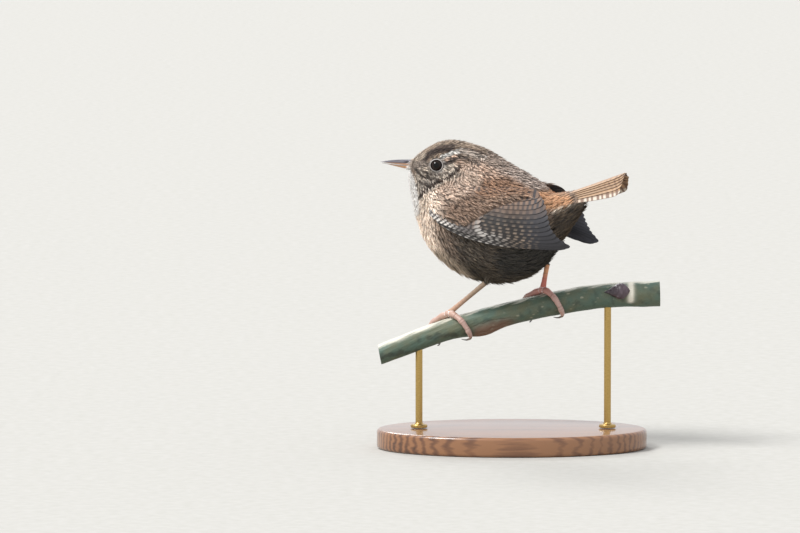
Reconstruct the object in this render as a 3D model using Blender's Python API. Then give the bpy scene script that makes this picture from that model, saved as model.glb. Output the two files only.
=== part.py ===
# A life-size wren on a cut length of branch, carried by a plain display stand.
# Metres, +Z up. The origin is the centre of the base's underside, the branch runs along X,
# and the bird looks towards -X, its left side towards -Y, its tail turned a little to -Y.
import math

import bmesh
import bpy
import numpy as np
from mathutils import Matrix, Vector
from mathutils.bvhtree import BVHTree

MM = 0.001
GAP = 0.3 * MM  # kept between any two pieces that touch in life
MERGE = 0.002 * MM

# Pose: the bird's own frame has its tail along +X, its left side at -Y, and its origin mid-body.
BODY_CENTRE = Vector((-9.6, 0.0, 80.5)) * MM
BODY_YAW = math.radians(-24)
HEAD_TURN = math.radians(20)
NECK_PIVOT = Vector((-8.2, 0.0, 0.0)) * MM
# The neck is the slanted slice between two planes across this direction. It takes up the turn.
NECK_POINT = Vector((-14.2, 0.0, 17.0)) * MM
NECK_NORMAL = Vector((-0.664, 0.0, 0.747)).normalized()
NECK_TOP = -0.5 * MM
NECK_FOOT = -8.0 * MM

# Body sections from the bill's root to the vent: the point on the back, the point on the throat
# or belly, both as (x, z), and the half width. All in millimetres.
BODY_SECTIONS = (
    (-26.3, 22.2, -27.2, 18.3, 2.3),
    (-24.4, 24.1, -28.0, 16.0, 4.6),
    (-21.2, 26.3, -27.6, 12.4, 6.7),
    (-16.8, 28.5, -26.9, 8.8, 8.3),
    (-11.6, 29.2, -26.2, 5.0, 9.3),
    (-5.3, 28.0, -25.6, 0.8, 11.2),
    (2.6, 25.0, -23.9, -4.8, 14.0),
    (10.0, 21.0, -19.7, -10.8, 16.4),
    (16.7, 17.6, -11.5, -17.5, 17.4),
    (21.5, 14.8, -1.1, -21.2, 17.2),
    (24.3, 12.6, 8.5, -21.5, 15.8),
    (26.2, 11.5, 17.4, -18.8, 13.0),
    (28.3, 11.6, 24.1, -13.4, 10.2),
    (31.0, 11.9, 29.1, -6.4, 7.8),
    (34.0, 12.4, 33.2, -0.6, 5.6),
    (37.5, 13.0, 37.6, 5.2, 3.6),
)
BODY_SIDES = 24
BODY_RINGS = 42
REAR_POINT = Vector((24.5, 0.0, 0.0)) * MM
REAR_NORMAL = Vector((1.0, 0.0, -0.12)).normalized()
PROBE = 60 * MM  # how far outside the body a line starts that looks for its surface

# Eyes and lids, in the unturned head.
EYE_CENTRE = Vector((-17.4, 0.0, 20.6)) * MM
EYE_RADIUS = 2.2 * MM
EYE_SINK = 1.25 * MM
EYE_FORWARD = 0.5  # how far an eye follows the slope of the cheek, from 0 for straight out
LID_RADIUS = 2.25 * MM
LID_THICKNESS = 0.5 * MM

# Bill: length from the feathers, and the culmen, mouth line and lower edge as heights at its root.
BILL_ROOT_X = -26.6 * MM
BILL_LENGTH = 11.2 * MM
BILL_TIP_Z = 21.1 * MM
CULMEN_Z = 22.0 * MM
MOUTH_Z = 19.9 * MM
BILL_LOWER_Z = 18.5 * MM
BILL_HALF_WIDTH = 1.9 * MM
BILL_TIP_HALF_WIDTH = 0.14 * MM
BILL_LEAN = 0.24  # its root slants forward below, as the face does
# The powers of the curves of the culmen, the mouth line, the lower edge and the half width, and how
# far the two lower edges end below the tip.
BILL_CURVES = (3.5, 1.6, 1.2, 0.9)
MOUTH_DROP = 0.1 * MM
LOWER_DROP = 0.15 * MM
BILL_ROUNDNESS = 0.8
BILL_TIP_DEPTH = 0.12 * MM
LOWER_REACH = 0.95  # the lower half is this much of the upper one's length
NOSTRIL = Vector((-28.3, 1.35, 21.15)) * MM
NOSTRIL_RADIUS = 0.42 * MM
NOSTRIL_STRETCH = (1.7, 1.0, 0.6)

# Tail: it leaves the body at its root point and lies like a roof, rounded along the ridge.
TAIL_ROOT = Vector((25.3, 0.0, 9.2)) * MM
TAIL_RISE = math.radians(19.8)
TAIL_LENGTH = 30.6 * MM
TAIL_ARCH = 5.2 * MM
TAIL_SLOPE = math.radians(56)
TAIL_THICKNESS = 2.5 * MM
TAIL_HALF_WIDTH = 8.6 * MM
TAIL_PAIRS = 6
TAIL_VANE_WIDTH = 4.8 * MM
TAIL_VANE_STEP = 0.3 * MM
TAIL_ACROSS_ROOT = (0.5 * MM, 0.5 * MM)
TAIL_ACROSS_TIP = (0.9 * MM, 1.15 * MM)
TAIL_OUTER_SPREAD = 1.3 * MM  # how much further the outermost left feather fans out
TAIL_SHORTENING = 0.11 * MM  # of a pair, by the square of its count from the middle
TAIL_RIGHT_SHORTENING = 0.4 * MM
TAIL_VANE_START = 3 * MM
# The cutters: how far they run along the tail and down from it, how wide they part rump and vent,
# and how high the room over the tail is.
CUT_HALF_LENGTH = 40 * MM
CUT_DEPTH = 45 * MM
CUT_HALF_WIDTH = 34 * MM
TAIL_HEADROOM = 4 * MM

# Wing: the outline of its bed in the bird's side view, and how far its sheet is off the body.
WING_BED = ((-16.4, 5.2), (-10.4, 1.0), (5.2, -3.0), (17.0, -3.0), (19.0, 4.0), (16.0, 11.5), (-6.0, 11.5))
WING_BED_CENTRE = (2.5, 4.5)
WING_BED_HEIGHTS = (0.7 * MM, 2.4 * MM)  # above the sheet and below it
WING_STAND_OFF = 1.0 * MM
# Where the body ends, the sheet runs on: its half width there, its growth ahead of that place and
# its narrowing behind it per length, and its half height there and its narrowing.
WING_WIDEST_X = 15.0 * MM
WING_HALF_WIDTH = 17.2 * MM
WING_GROWTH = 0.5
WING_NARROWING = 0.115
WING_HALF_HEIGHT = 21.0 * MM
WING_LOWERING = 0.38
# Feathers from the wing's upper edge to its lower one, each set spread evenly between its rows:
# the root as (x, z), how high the vane's middle lies, the tip as (x, z), and the width, in
# millimetres in the bird's side view.
FLIGHT_FEATHERS = (
    (2.2, 10.8, 11.4, 25.9, 11.2, 5.2),
    (-1.0, 9.2, 7.9, 29.0, 7.5, 5.0),
    (-5.0, 7.2, 4.3, 30.8, 3.5, 4.6),
    (-8.4, 5.0, 1.1, 32.2, -0.4, 4.0),
    (-10.6, 3.2, -1.6, 34.8, -3.8, 3.4),
    (-11.8, 1.8, -3.4, 37.8, -6.4, 3.0),
    (-12.3, 1.2, -4.4, 28.0, -6.3, 2.4),
)
GREATER_COVERTS = (
    (-5.6, 11.6, 11.6, 10.8, 11.0, 4.8),
    (-11.8, 9.2, 7.2, 8.2, 5.6, 4.6),
    (-14.8, 5.8, 2.6, 6.6, 0.4, 3.8),
    (-15.0, 3.6, 0.2, 8.7, -2.8, 2.6),
)
LESSER_COVERTS = (
    (-10.8, 11.2, 11.4, 1.6, 11.2, 4.8),
    (-14.8, 8.8, 7.6, -1.6, 6.6, 4.6),
    (-16.2, 5.6, 3.8, -4.9, 1.8, 3.6),
)
# Each set: its rows, how many feathers, how far its sheet lies over the wing's.
WING_TIERS = (
    (FLIGHT_FEATHERS, 15, 0.0),
    (GREATER_COVERTS, 8, 0.5 * MM),
    (LESSER_COVERTS, 6, 0.9 * MM),
)
# The right wing is folded higher: its lower feathers are lifted by this much in their middle, from
# and to these heights and lengths in the bird's side view, in millimetres.
RIGHT_WING_LIFT = 3.4
RIGHT_WING_FADE = (6.5, -3.5)
RIGHT_WING_SPAN = (-12.0, 38.0)
VANE_THICKNESS = 0.6 * MM
WING_VANE_TAPER = 0.15
TAIL_VANE_TAPER = 0.25
ROOT_SINK = 0.7 * MM  # how deep the wing's vanes root in its bed
ROOT_SHARE = 0.25  # of a vane's length, over which it comes out of the bed
VANE_TILT = 0.75 * MM  # a vane's lower edge stands this much higher than its upper edge
VANE_LIFT = 0.05 * MM  # each vane lies this much higher than the one below it
# A vane's width along its length, as shares of its full width.
VANE_PROFILE = ((0.0, 0.5), (0.25, 0.85), (0.55, 1.0), (0.8, 0.94), (0.93, 0.68), (1.0, 0.24))

# Branch: its centre line as (x, z), and its radius at the thin and the thick end, in millimetres.
PERCH_LINE = ((-47.0, 33.4), (-22.0, 42.5), (3.0, 48.9), (28.0, 53.8), (52.5, 55.2))
PERCH_RADII = (3.6 * MM, 4.5 * MM)
SWELLING = 1.7 * MM
SWELLING_X = -11.0 * MM
SWELLING_LENGTH = 6.2 * MM
PERCH_SIDES = 16
PERCH_RINGS = 26
BUD_X = (32.8 * MM, 41.8 * MM)
BUD_ANGLE = math.radians(-68)
BUD_RADIUS = 2.9 * MM
BUD_TIP = 0.04  # its girth at both ends, as a share
BUD_SHAPE = (1.6, 0.8)  # powers: how far back it is widest, and how blunt it is
BUD_HEIGHT = 0.2 * MM
BUD_FLATTENING = 0.75

# Legs: where each heel leaves the feathers, in the bird's frame, and where its foot stands.
LEGS = {
    "left": {"heel": (3.4, -8.0, -21.0), "foot_x": -20.9},
    "right": {"heel": (20.6, 8.0, -15.2), "foot_x": 12.1},
}
TARSUS_RADIUS = 0.82 * MM
TARSUS_WAIST = (1.12, 0.5)  # its girth at the ends, and how much it narrows between them
ANKLE_HEIGHT = 2.6 * MM
ANKLE_SHARES = (1.45, 1.15)
SCUTE_LENGTH = 1.9 * MM
SCUTE_HEIGHT = 0.09 * MM
THIGH_RADIUS = 2.4 * MM
THIGH_LENGTH = 6.0 * MM
THIGH_TOWARD = (8.0, -4.0)  # where it points, as (x, z) in the bird's frame
THIGH_KNEE = 0.15
THIGH_SHARES = (0.42, 0.5, 0.7, 0.95, 1.0)
FOOT_PAD = 1.6 * MM
PAD_FLATTENING = 0.8
TOE_RADII = (1.1 * MM, 0.82 * MM)
TOE_POINTS = 10
CLAW_RADIUS = 0.52 * MM
CLAW_POINTS = 7
CLAW_TURN = 42  # degrees round the branch
CLAW_HUMP = 0.55 * MM
CLAW_DROP = 0.3 * MM
CLAW_TAPER = 0.82
CLAW_STRAIGHT = 5 * MM  # along which it leaves the toe, before it bends round the branch
# Each toe: how far it wraps the branch in degrees (below zero on the bird's left of it), how far
# it reaches along the branch, and how far its claw turns back, in millimetres.
TOES = {
    "hind": (-138, 5.0, -3.4),
    "outer": (78, -8.0, -2.0),
    "middle": (128, -6.0, -1.0),
    "inner": (108, -1.5, 1.0),
}

# Stand: an oval base and two turned rods under the branch.
BASE_LENGTH = 96.0 * MM
BASE_WIDTH = 64.0 * MM
BASE_HEIGHT = 7.0 * MM
BASE_BEVEL = 1.2 * MM
ROD_RADIUS = 1.25 * MM
ROD_X = {"left": -33.0 * MM, "right": 34.0 * MM}
COLLAR_RADIUS = 3.0 * MM
COLLAR_HEIGHT = 1.8 * MM

MATERIALS = {
    "brown_plumage": ((0.18, 0.11, 0.07), 0.85, 0.0),
    "pale_plumage": ((0.33, 0.26, 0.19), 0.9, 0.0),
    "barred_feathers": ((0.09, 0.055, 0.035), 0.7, 0.0),
    "rufous_feathers": ((0.26, 0.12, 0.055), 0.75, 0.0),
    "eye": ((0.006, 0.005, 0.005), 0.08, 0.0),
    "bill_horn": ((0.12, 0.08, 0.06), 0.45, 0.0),
    "leg_skin": ((0.42, 0.2, 0.14), 0.5, 0.0),
    "claw_horn": ((0.1, 0.07, 0.06), 0.4, 0.0),
    "bark": ((0.05, 0.085, 0.045), 0.6, 0.0),
    "bud_scales": ((0.09, 0.04, 0.04), 0.5, 0.0),
    "base_wood": ((0.32, 0.2, 0.11), 0.45, 0.0),
    "rod_brass": ((0.6, 0.42, 0.18), 0.3, 1.0),
}


def clear_scene():
    for obj in list(bpy.data.objects):
        bpy.data.objects.remove(obj, do_unlink=True)


def material(name):
    found = bpy.data.materials.get(name)
    if found:
        return found
    colour, roughness, metallic = MATERIALS[name]
    made = bpy.data.materials.new(name)
    made.use_nodes = True
    shader = made.node_tree.nodes["Principled BSDF"]
    shader.inputs["Base Color"].default_value = (*colour, 1.0)
    shader.inputs["Roughness"].default_value = roughness
    shader.inputs["Metallic"].default_value = metallic
    made.diffuse_color = (*colour, 1.0)
    return made


def collection(name):
    found = bpy.data.collections.get(name)
    if found is None:
        found = bpy.data.collections.new(name)
        bpy.context.scene.collection.children.link(found)
    return found


def object_from(name, bm, group="helpers", parent=None):
    """A new object from a bmesh, which is freed."""
    mesh = bpy.data.meshes.new(name)
    bm.to_mesh(mesh)
    bm.free()
    obj = bpy.data.objects.new(name, mesh)
    collection(group).objects.link(obj)
    obj.parent = parent
    return obj


def finish_part(obj, name, finish, smooth=40):
    """Names the object as a part, shades it smooth up to an angle and gives it its material."""
    obj.name = name
    obj.data.name = name
    for group in list(obj.users_collection):
        group.objects.unlink(obj)
    collection("wren").objects.link(obj)
    obj.data.materials.clear()
    obj.data.materials.append(material(finish))
    obj.data.shade_smooth()
    obj.data.set_sharp_from_angle(angle=math.radians(smooth))
    return obj


def apply_modifiers(obj):
    """Replaces the object's mesh by what its modifiers make of it."""
    bpy.context.view_layer.update()
    graph = bpy.context.evaluated_depsgraph_get()
    mesh = bpy.data.meshes.new_from_object(obj.evaluated_get(graph))
    old = obj.data
    obj.modifiers.clear()
    obj.data = mesh
    bpy.data.meshes.remove(old)
    return obj


def boolean(obj, other, operation, solver="EXACT"):
    """Joins, cuts or intersects obj with other, and removes other."""
    step = obj.modifiers.new(operation.lower(), "BOOLEAN")
    step.operation = operation
    step.solver = solver
    step.object = other
    apply_modifiers(obj)
    bpy.data.objects.remove(other, do_unlink=True)
    return obj


def union(obj, others, solver="MANIFOLD"):
    """Joins closed pieces to obj with one Boolean on their collection, and removes them."""
    pieces = bpy.data.collections.new("pieces")
    bpy.context.scene.collection.children.link(pieces)
    for other in others:
        for group in list(other.users_collection):
            group.objects.unlink(other)
        pieces.objects.link(other)
    step = obj.modifiers.new("union", "BOOLEAN")
    step.operation = "UNION"
    step.operand_type = "COLLECTION"
    step.collection = pieces
    step.solver = solver
    apply_modifiers(obj)
    for other in list(pieces.objects):
        bpy.data.objects.remove(other, do_unlink=True)
    bpy.data.collections.remove(pieces)
    return obj


def keep_largest(obj):
    """Drops every closed surface but the one with the most volume."""
    bm = bmesh.new()
    bm.from_mesh(obj.data)
    bmesh.ops.triangulate(bm, faces=bm.faces)
    left = set(bm.faces)
    shells = []
    while left:
        shell, queue = set(), [left.pop()]
        while queue:
            face = queue.pop()
            shell.add(face)
            for edge in face.edges:
                for other in edge.link_faces:
                    if other in left and len(edge.link_faces) == 2:
                        left.discard(other)
                        queue.append(other)
        shells.append(shell)

    def size(shell):
        return sum(face.calc_center_median().dot(face.normal) * face.calc_area() for face in shell)

    shells.sort(key=size)
    for shell in shells[:-1]:
        bmesh.ops.delete(bm, geom=list(shell), context="FACES")
    bm.to_mesh(obj.data)
    bm.free()
    return obj


def smooth_path(knots, count):
    """Points at even steps along a Catmull-Rom curve through the knots."""
    knots = np.array(knots, float)
    ends = np.vstack([2 * knots[0] - knots[1], knots, 2 * knots[-1] - knots[-2]])
    points = []
    for at in np.linspace(0, len(knots) - 1, count):
        index = min(int(at), len(knots) - 2)
        t = at - index
        a, b, c, d = ends[index : index + 4]
        curve = 2 * b + (c - a) * t + (2 * a - 5 * b + 4 * c - d) * t**2
        points.append(0.5 * (curve + (3 * b - 3 * c + d - a) * t**3))
    return np.array(points)


def on_path(path, share):
    """The point at a share from 0 to 1 of a list of evenly stepped points."""
    at = min(max(share, 0.0), 1.0) * (len(path) - 1)
    index = min(int(at), len(path) - 2)
    return path[index] + (path[index + 1] - path[index]) * (at - index)


def wrapped(sides, rings, place):
    """A closed skin: a grid rolled into a tube, each point set by place(angle, run)."""
    bm = bmesh.new()
    bmesh.ops.create_grid(bm, x_segments=sides, y_segments=rings, size=1)
    for vert in bm.verts:
        vert.co = place((vert.co.x + 1) * math.pi, (vert.co.y + 1) / 2)
    bmesh.ops.remove_doubles(bm, verts=bm.verts, dist=MERGE)
    bmesh.ops.holes_fill(bm, edges=bm.edges, sides=0)
    bmesh.ops.recalc_face_normals(bm, faces=bm.faces)
    return bm


def vane(name, place, parent, across=1):
    """A closed thin vane: a grid with the same triangles on both faces, its points set by place."""
    bm = bmesh.new()
    bmesh.ops.create_grid(bm, x_segments=across, y_segments=len(VANE_PROFILE) - 1, size=1)
    bmesh.ops.triangulate(bm, faces=bm.faces, quad_method="FIXED")
    under = list(bm.verts)
    bmesh.ops.extrude_face_region(bm, geom=bm.faces[:], use_keep_orig=True)
    known = set(under)
    for vert in bm.verts:
        row = round((vert.co.y + 1) / 2 * (len(VANE_PROFILE) - 1))
        run, width = VANE_PROFILE[row]
        vert.co = place(run, vert.co.x * width, vert in known)
    bmesh.ops.recalc_face_normals(bm, faces=bm.faces)
    if bm.calc_volume(signed=True) < 0:
        bmesh.ops.reverse_faces(bm, faces=bm.faces)
    return object_from(name, bm, parent=parent)


def keep_below(bm, point, normal):
    """Cuts a closed mesh by a plane, keeps the side behind the normal and caps it."""
    everything = bm.verts[:] + bm.edges[:] + bm.faces[:]
    cut = bmesh.ops.bisect_plane(
        bm, geom=everything, dist=MERGE / 10, plane_co=point, plane_no=normal, clear_outer=True
    )
    rim = [item for item in cut["geom_cut"] if isinstance(item, bmesh.types.BMEdge)]
    bmesh.ops.holes_fill(bm, edges=rim, sides=0)
    bmesh.ops.recalc_face_normals(bm, faces=bm.faces)
    return bm


def ball(radius, centre, stretch=(1, 1, 1), segments=16, turn=None):
    bm = bmesh.new()
    bmesh.ops.create_uvsphere(bm, u_segments=segments, v_segments=segments // 2, radius=radius)
    bmesh.ops.scale(bm, vec=stretch, verts=bm.verts)
    if turn is not None:
        bmesh.ops.rotate(bm, matrix=turn, verts=bm.verts)
    bmesh.ops.translate(bm, vec=centre, verts=bm.verts)
    return bm


def mesh_of_curve(line):
    """A curve's closed mesh, its caps welded to its sides. The curve is removed."""
    guide = bpy.data.objects.new(line.name, line)
    collection("helpers").objects.link(guide)
    bpy.context.view_layer.update()
    graph = bpy.context.evaluated_depsgraph_get()
    mesh = bpy.data.meshes.new_from_object(guide.evaluated_get(graph))
    bm = bmesh.new()
    bm.from_mesh(mesh)
    bpy.data.meshes.remove(mesh)
    bpy.data.objects.remove(guide, do_unlink=True)
    bmesh.ops.remove_doubles(bm, verts=bm.verts, dist=MERGE)
    bmesh.ops.recalc_face_normals(bm, faces=bm.faces)
    return bm


def tube(name, points, radii, sides=8):
    """A tapering tube along points."""
    line = bpy.data.curves.new(name, "CURVE")
    line.dimensions = "3D"
    line.bevel_depth = 1.0
    line.bevel_resolution = (sides - 4) // 2
    line.use_fill_caps = True
    spline = line.splines.new("POLY")
    spline.points.add(len(points) - 1)
    for knot, point, radius in zip(spline.points, points, radii):
        knot.co = (*point, 1.0)
        knot.radius = radius
    return object_from(name, mesh_of_curve(line))


# Body


def body_skin(grow=0.0):
    """The whole body from the bill's root to the vent, in the bird's frame."""
    path = smooth_path(BODY_SECTIONS, BODY_RINGS + 1) * MM

    def place(angle, run):
        back_x, back_z, belly_x, belly_z, half_width = on_path(path, run)
        back = Vector((back_x, 0, back_z))
        belly = Vector((belly_x, 0, belly_z))
        half = (back - belly) / 2
        half += half.normalized() * grow
        side = Vector((0, (half_width + grow) * math.sin(angle), 0))
        return (back + belly) / 2 + half * math.cos(angle) + side

    return wrapped(BODY_SIDES, BODY_RINGS, place)


def turned(point):
    """Where the turn of the head takes a point of the neck: all of it above, none below."""
    height = (point - NECK_POINT).dot(NECK_NORMAL)
    share = min(max((height - NECK_FOOT) / (NECK_TOP - NECK_FOOT), 0.0), 1.0)
    share = share * share * (3 - 2 * share)
    turn = Matrix.Rotation(HEAD_TURN * share, 3, "Z")
    return NECK_PIVOT + turn @ (point - NECK_PIVOT)


def slice_of_body(planes):
    """The body's part on the near side of each plane, given as (point, normal)."""
    bm = body_skin()
    for point, normal in planes:
        keep_below(bm, point, normal)
    return bm


def make_head(head_axis):
    top = NECK_POINT + NECK_NORMAL * (NECK_TOP + GAP / 2)
    bm = slice_of_body([(top, -NECK_NORMAL)])
    bmesh.ops.translate(bm, vec=-NECK_PIVOT, verts=bm.verts)
    head = object_from("head", bm, parent=head_axis)
    skin = BVHTree.FromObject(head, bpy.context.evaluated_depsgraph_get())
    eyes = {}
    for side, sign in (("left", -1), ("right", 1)):
        start = EYE_CENTRE - NECK_PIVOT + Vector((0, sign * PROBE, 0))
        hit, normal, _, _ = skin.ray_cast(start, Vector((0, -sign, 0)))
        out = (normal * EYE_FORWARD + Vector((0, sign, 0))).normalized()
        eyes[side] = (hit, out)
    lids, sockets = [], []
    for side, (hit, out) in eyes.items():
        bpy.ops.mesh.primitive_torus_add(
            major_radius=LID_RADIUS,
            minor_radius=LID_THICKNESS,
            major_segments=20,
            minor_segments=8,
            location=hit,
            rotation=out.to_track_quat("Z", "Y").to_euler(),
        )
        lid = bpy.context.object
        lid.parent = head_axis
        lids.append(lid)
        socket = ball(EYE_RADIUS + GAP, hit - out * EYE_SINK)
        sockets.append(object_from("socket_" + side, socket, parent=head_axis))
        eye = object_from("eye_" + side, ball(EYE_RADIUS, hit - out * EYE_SINK), parent=head_axis)
        finish_part(eye, "eye_" + side, "eye", 180)
    union(head, lids)
    for socket in sockets:
        boolean(head, socket, "DIFFERENCE")
    finish_part(keep_largest(head), "head", "brown_plumage")


def make_neck(bird):
    top = NECK_POINT + NECK_NORMAL * (NECK_TOP - GAP / 2)
    foot = NECK_POINT + NECK_NORMAL * (NECK_FOOT + GAP / 2)
    bm = slice_of_body([(top, NECK_NORMAL), (foot, -NECK_NORMAL)])
    bmesh.ops.triangulate(bm, faces=bm.faces)
    for vert in bm.verts:
        vert.co = turned(vert.co)
    finish_part(object_from("neck", bm, parent=bird), "neck", "brown_plumage")


def make_torso(bird):
    top = NECK_POINT + NECK_NORMAL * (NECK_FOOT - GAP / 2)
    rear = REAR_POINT - REAR_NORMAL * GAP / 2
    bm = slice_of_body([(top, NECK_NORMAL), (rear, REAR_NORMAL)])
    finish_part(object_from("torso", bm, parent=bird), "torso", "pale_plumage")


def tail_axes():
    """The tail's own directions: back along its ridge, and up from it."""
    ahead = Vector((math.cos(TAIL_RISE), 0, math.sin(TAIL_RISE)))
    up = Vector((-math.sin(TAIL_RISE), 0, math.cos(TAIL_RISE)))
    return ahead, up


def roof(across, height):
    """The tail's section: (sideways, upwards) at a distance across and a height over it."""
    angle = min(abs(across) / TAIL_ARCH, TAIL_SLOPE)
    straight = max(abs(across) - TAIL_ARCH * TAIL_SLOPE, 0.0)
    side = (TAIL_ARCH + height) * math.sin(angle) + straight * math.cos(angle)
    rise = (TAIL_ARCH + height) * math.cos(angle) - TAIL_ARCH - straight * math.sin(angle)
    return math.copysign(side, across), rise


def tail_point(along, across, height):
    side, rise = roof(across, height)
    ahead, up = tail_axes()
    return TAIL_ROOT + ahead * along + up * rise + Vector((0, side, 0))


def tail_bar(half_width, top, bottom=None):
    """A long bar along the tail under its roof moved by top, down to its roof moved by bottom."""
    edge = TAIL_ARCH * TAIL_SLOPE
    steps = [-half_width, -0.6 * half_width - 0.4 * edge, -edge, -edge * 0.67, -edge * 0.33, 0.0]
    steps += [-step for step in reversed(steps[:-1])]
    outline = [roof(across, top) for across in steps]
    if bottom is None:
        outline += [(outline[-1][0], -CUT_DEPTH), (outline[0][0], -CUT_DEPTH)]
    else:
        outline += [roof(across, bottom) for across in reversed(steps)]
    flat = bpy.data.curves.new("tail_bar", "CURVE")
    flat.dimensions = "2D"
    flat.fill_mode = "BOTH"
    flat.extrude = CUT_HALF_LENGTH
    spline = flat.splines.new("POLY")
    spline.points.add(len(outline) - 1)
    spline.use_cyclic_u = True
    for knot, (side, rise) in zip(spline.points, outline):
        knot.co = (side, rise, 0, 1)
    bm = mesh_of_curve(flat)
    ahead, up = tail_axes()
    axes = Matrix((Vector((0, 1, 0)), up, ahead)).transposed()
    bmesh.ops.transform(bm, matrix=axes.to_4x4(), verts=bm.verts)
    bmesh.ops.translate(bm, vec=TAIL_ROOT, verts=bm.verts)
    bmesh.ops.recalc_face_normals(bm, faces=bm.faces)
    return bm


def rear_piece(name, bird):
    rear = REAR_POINT + REAR_NORMAL * GAP / 2
    return object_from(name, slice_of_body([(rear, -REAR_NORMAL)]), parent=bird)


def make_rump_and_vent(bird):
    rump = rear_piece("rump", bird)
    boolean(rump, object_from("cut", tail_bar(CUT_HALF_WIDTH, GAP), parent=bird), "DIFFERENCE")
    finish_part(keep_largest(rump), "rump", "rufous_feathers")
    vent = rear_piece("vent", bird)
    boolean(vent, object_from("cut", tail_bar(CUT_HALF_WIDTH, 0.0), parent=bird), "INTERSECT")
    room = tail_bar(TAIL_HALF_WIDTH + GAP, TAIL_HEADROOM, -TAIL_THICKNESS - GAP)
    boolean(vent, object_from("cut", room, parent=bird), "DIFFERENCE")
    finish_part(keep_largest(vent), "vent", "pale_plumage")


def make_tail(bird):
    """Six pairs of feathers, the middle pair uppermost, rooted in a slab of the body."""
    tail = rear_piece("tail", bird)
    slab = tail_bar(TAIL_HALF_WIDTH, 0.0, -TAIL_THICKNESS)
    boolean(tail, object_from("cut", slab, parent=bird), "INTERSECT")
    feathers = []
    for pair in range(TAIL_PAIRS):
        for sign in (-1, 1):
            feathers.append(tail_feather(pair, sign, bird))
    union(tail, feathers)
    finish_part(keep_largest(tail), "tail", "rufous_feathers", 30)


def tail_feather(pair, sign, bird):
    """One vane of the tail: its pair counted from the middle, its sign -1 on the left."""
    start = TAIL_ACROSS_ROOT[0] + TAIL_ACROSS_ROOT[1] * pair
    end = TAIL_ACROSS_TIP[0] + TAIL_ACROSS_TIP[1] * pair
    if pair == TAIL_PAIRS - 1 and sign < 0:
        end += TAIL_OUTER_SPREAD
    length = TAIL_LENGTH - TAIL_SHORTENING * pair**2 - (TAIL_RIGHT_SHORTENING if sign > 0 else 0)
    top = -(pair + (0.5 if sign > 0 else 0.0)) * TAIL_VANE_STEP - 0.1 * MM

    def place(run, across, under):
        along = TAIL_VANE_START + run * (length - TAIL_VANE_START)
        middle = start + (end - start) * run
        thick = VANE_THICKNESS * (1.0 - TAIL_VANE_TAPER * run)
        point = sign * middle + across * TAIL_VANE_WIDTH / 2
        return tail_point(along, point, top - (thick if under else 0))

    return vane(f"tail_feather_{pair}_{sign}", place, bird, across=2)


# Wings


def wing_guide(x, z):
    """Half width of the wing's sheet where it runs on behind the body."""
    behind = max(x - WING_WIDEST_X, 0.0)
    ahead = max(WING_WIDEST_X - x, 0.0)
    width = WING_HALF_WIDTH - WING_NARROWING * behind - WING_GROWTH * ahead
    height = WING_HALF_HEIGHT - WING_LOWERING * behind
    return width * math.sqrt(max(1 - (z / height) ** 2, 0.05))


def wing_half_width(skin, x, z):
    """The wing's sheet stands off the body, and runs on smoothly behind it."""
    hit = skin.ray_cast(Vector((x, -PROBE, z)), Vector((0, 1, 0)))[0]
    body = (-hit.y if hit else 0.0) + WING_STAND_OFF
    guide = wing_guide(x, z)
    return 0.5 * (body + guide + math.sqrt((body - guide) ** 2 + MM * MM))


def wing_point(skin, x, z, height):
    """A point of the left wing: its place in side view, and its height over the sheet."""
    step = 0.5 * MM
    half = wing_half_width(skin, x, z)
    slope_x = (wing_half_width(skin, x + step, z) - half) / step
    slope_z = (wing_half_width(skin, x, z + step) - half) / step
    out = Vector((-slope_x, -1, -slope_z)).normalized()
    return Vector((x, -half, z)) + out * height


def eased(share):
    """0 below 0, 1 above 1, and smooth between."""
    share = min(max(share, 0.0), 1.0)
    return share * share * (3 - 2 * share)


def lifted(x, z, lift):
    """The height of a point of a wing whose lower feathers are lifted in their middle."""
    start, end = RIGHT_WING_SPAN
    top, low = RIGHT_WING_FADE
    run = min(max((x / MM - start) / (end - start), 0.0), 1.0)
    return z + lift * MM * math.sin(math.pi * run) ** 2 * eased((top - z / MM) / (top - low))


def wing_bed(skin, lift, parent):
    """The wing's flesh and small coverts: a lens bedded on the body."""
    outline = smooth_path(WING_BED + WING_BED[:1], 29) * MM
    centre = np.array(WING_BED_CENTRE) * MM
    above, below = WING_BED_HEIGHTS
    lens = bmesh.new()
    bmesh.ops.create_uvsphere(lens, u_segments=28, v_segments=10, radius=1)
    for vert in lens.verts:
        radius = min(math.hypot(vert.co.x, vert.co.y), 1.0)
        share = (math.atan2(vert.co.y, vert.co.x) / math.tau) % 1.0
        edge = on_path(outline, share)
        x, z = centre + (edge - centre) * radius
        height = (above if vert.co.z > 0 else below) * vert.co.z
        vert.co = wing_point(skin, x, lifted(x, z, lift), height)
    bmesh.ops.recalc_face_normals(lens, faces=lens.faces)
    return object_from("wing", lens, parent=parent)


def wing_feather(skin, row, height, lift, parent):
    """One vane: row holds its root, middle height, tip and width in the bird's side view."""
    root_x, root_z, middle_z, tip_x, tip_z, width = row * MM
    root = np.array((root_x, root_z))
    tip = np.array((tip_x, tip_z))
    bow = np.array((0.0, middle_z - (root_z + tip_z) / 2))
    along = (tip - root) / np.linalg.norm(tip - root)
    side = np.array((-along[1], along[0]))

    def place(run, across, under):
        x, z = root + (tip - root) * run + bow * 4 * run * (1 - run) + side * across * width / 2
        thick = VANE_THICKNESS * (1.0 - WING_VANE_TAPER * run)
        top = height + VANE_TILT * (0.5 - across / 2) * min(1.0, run * 3)
        top -= ROOT_SINK * (1 - min(1.0, run / ROOT_SHARE))
        return wing_point(skin, x, lifted(x, z, lift), top - (thick if under else 0))

    return vane("wing_feather", place, parent)


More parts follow.
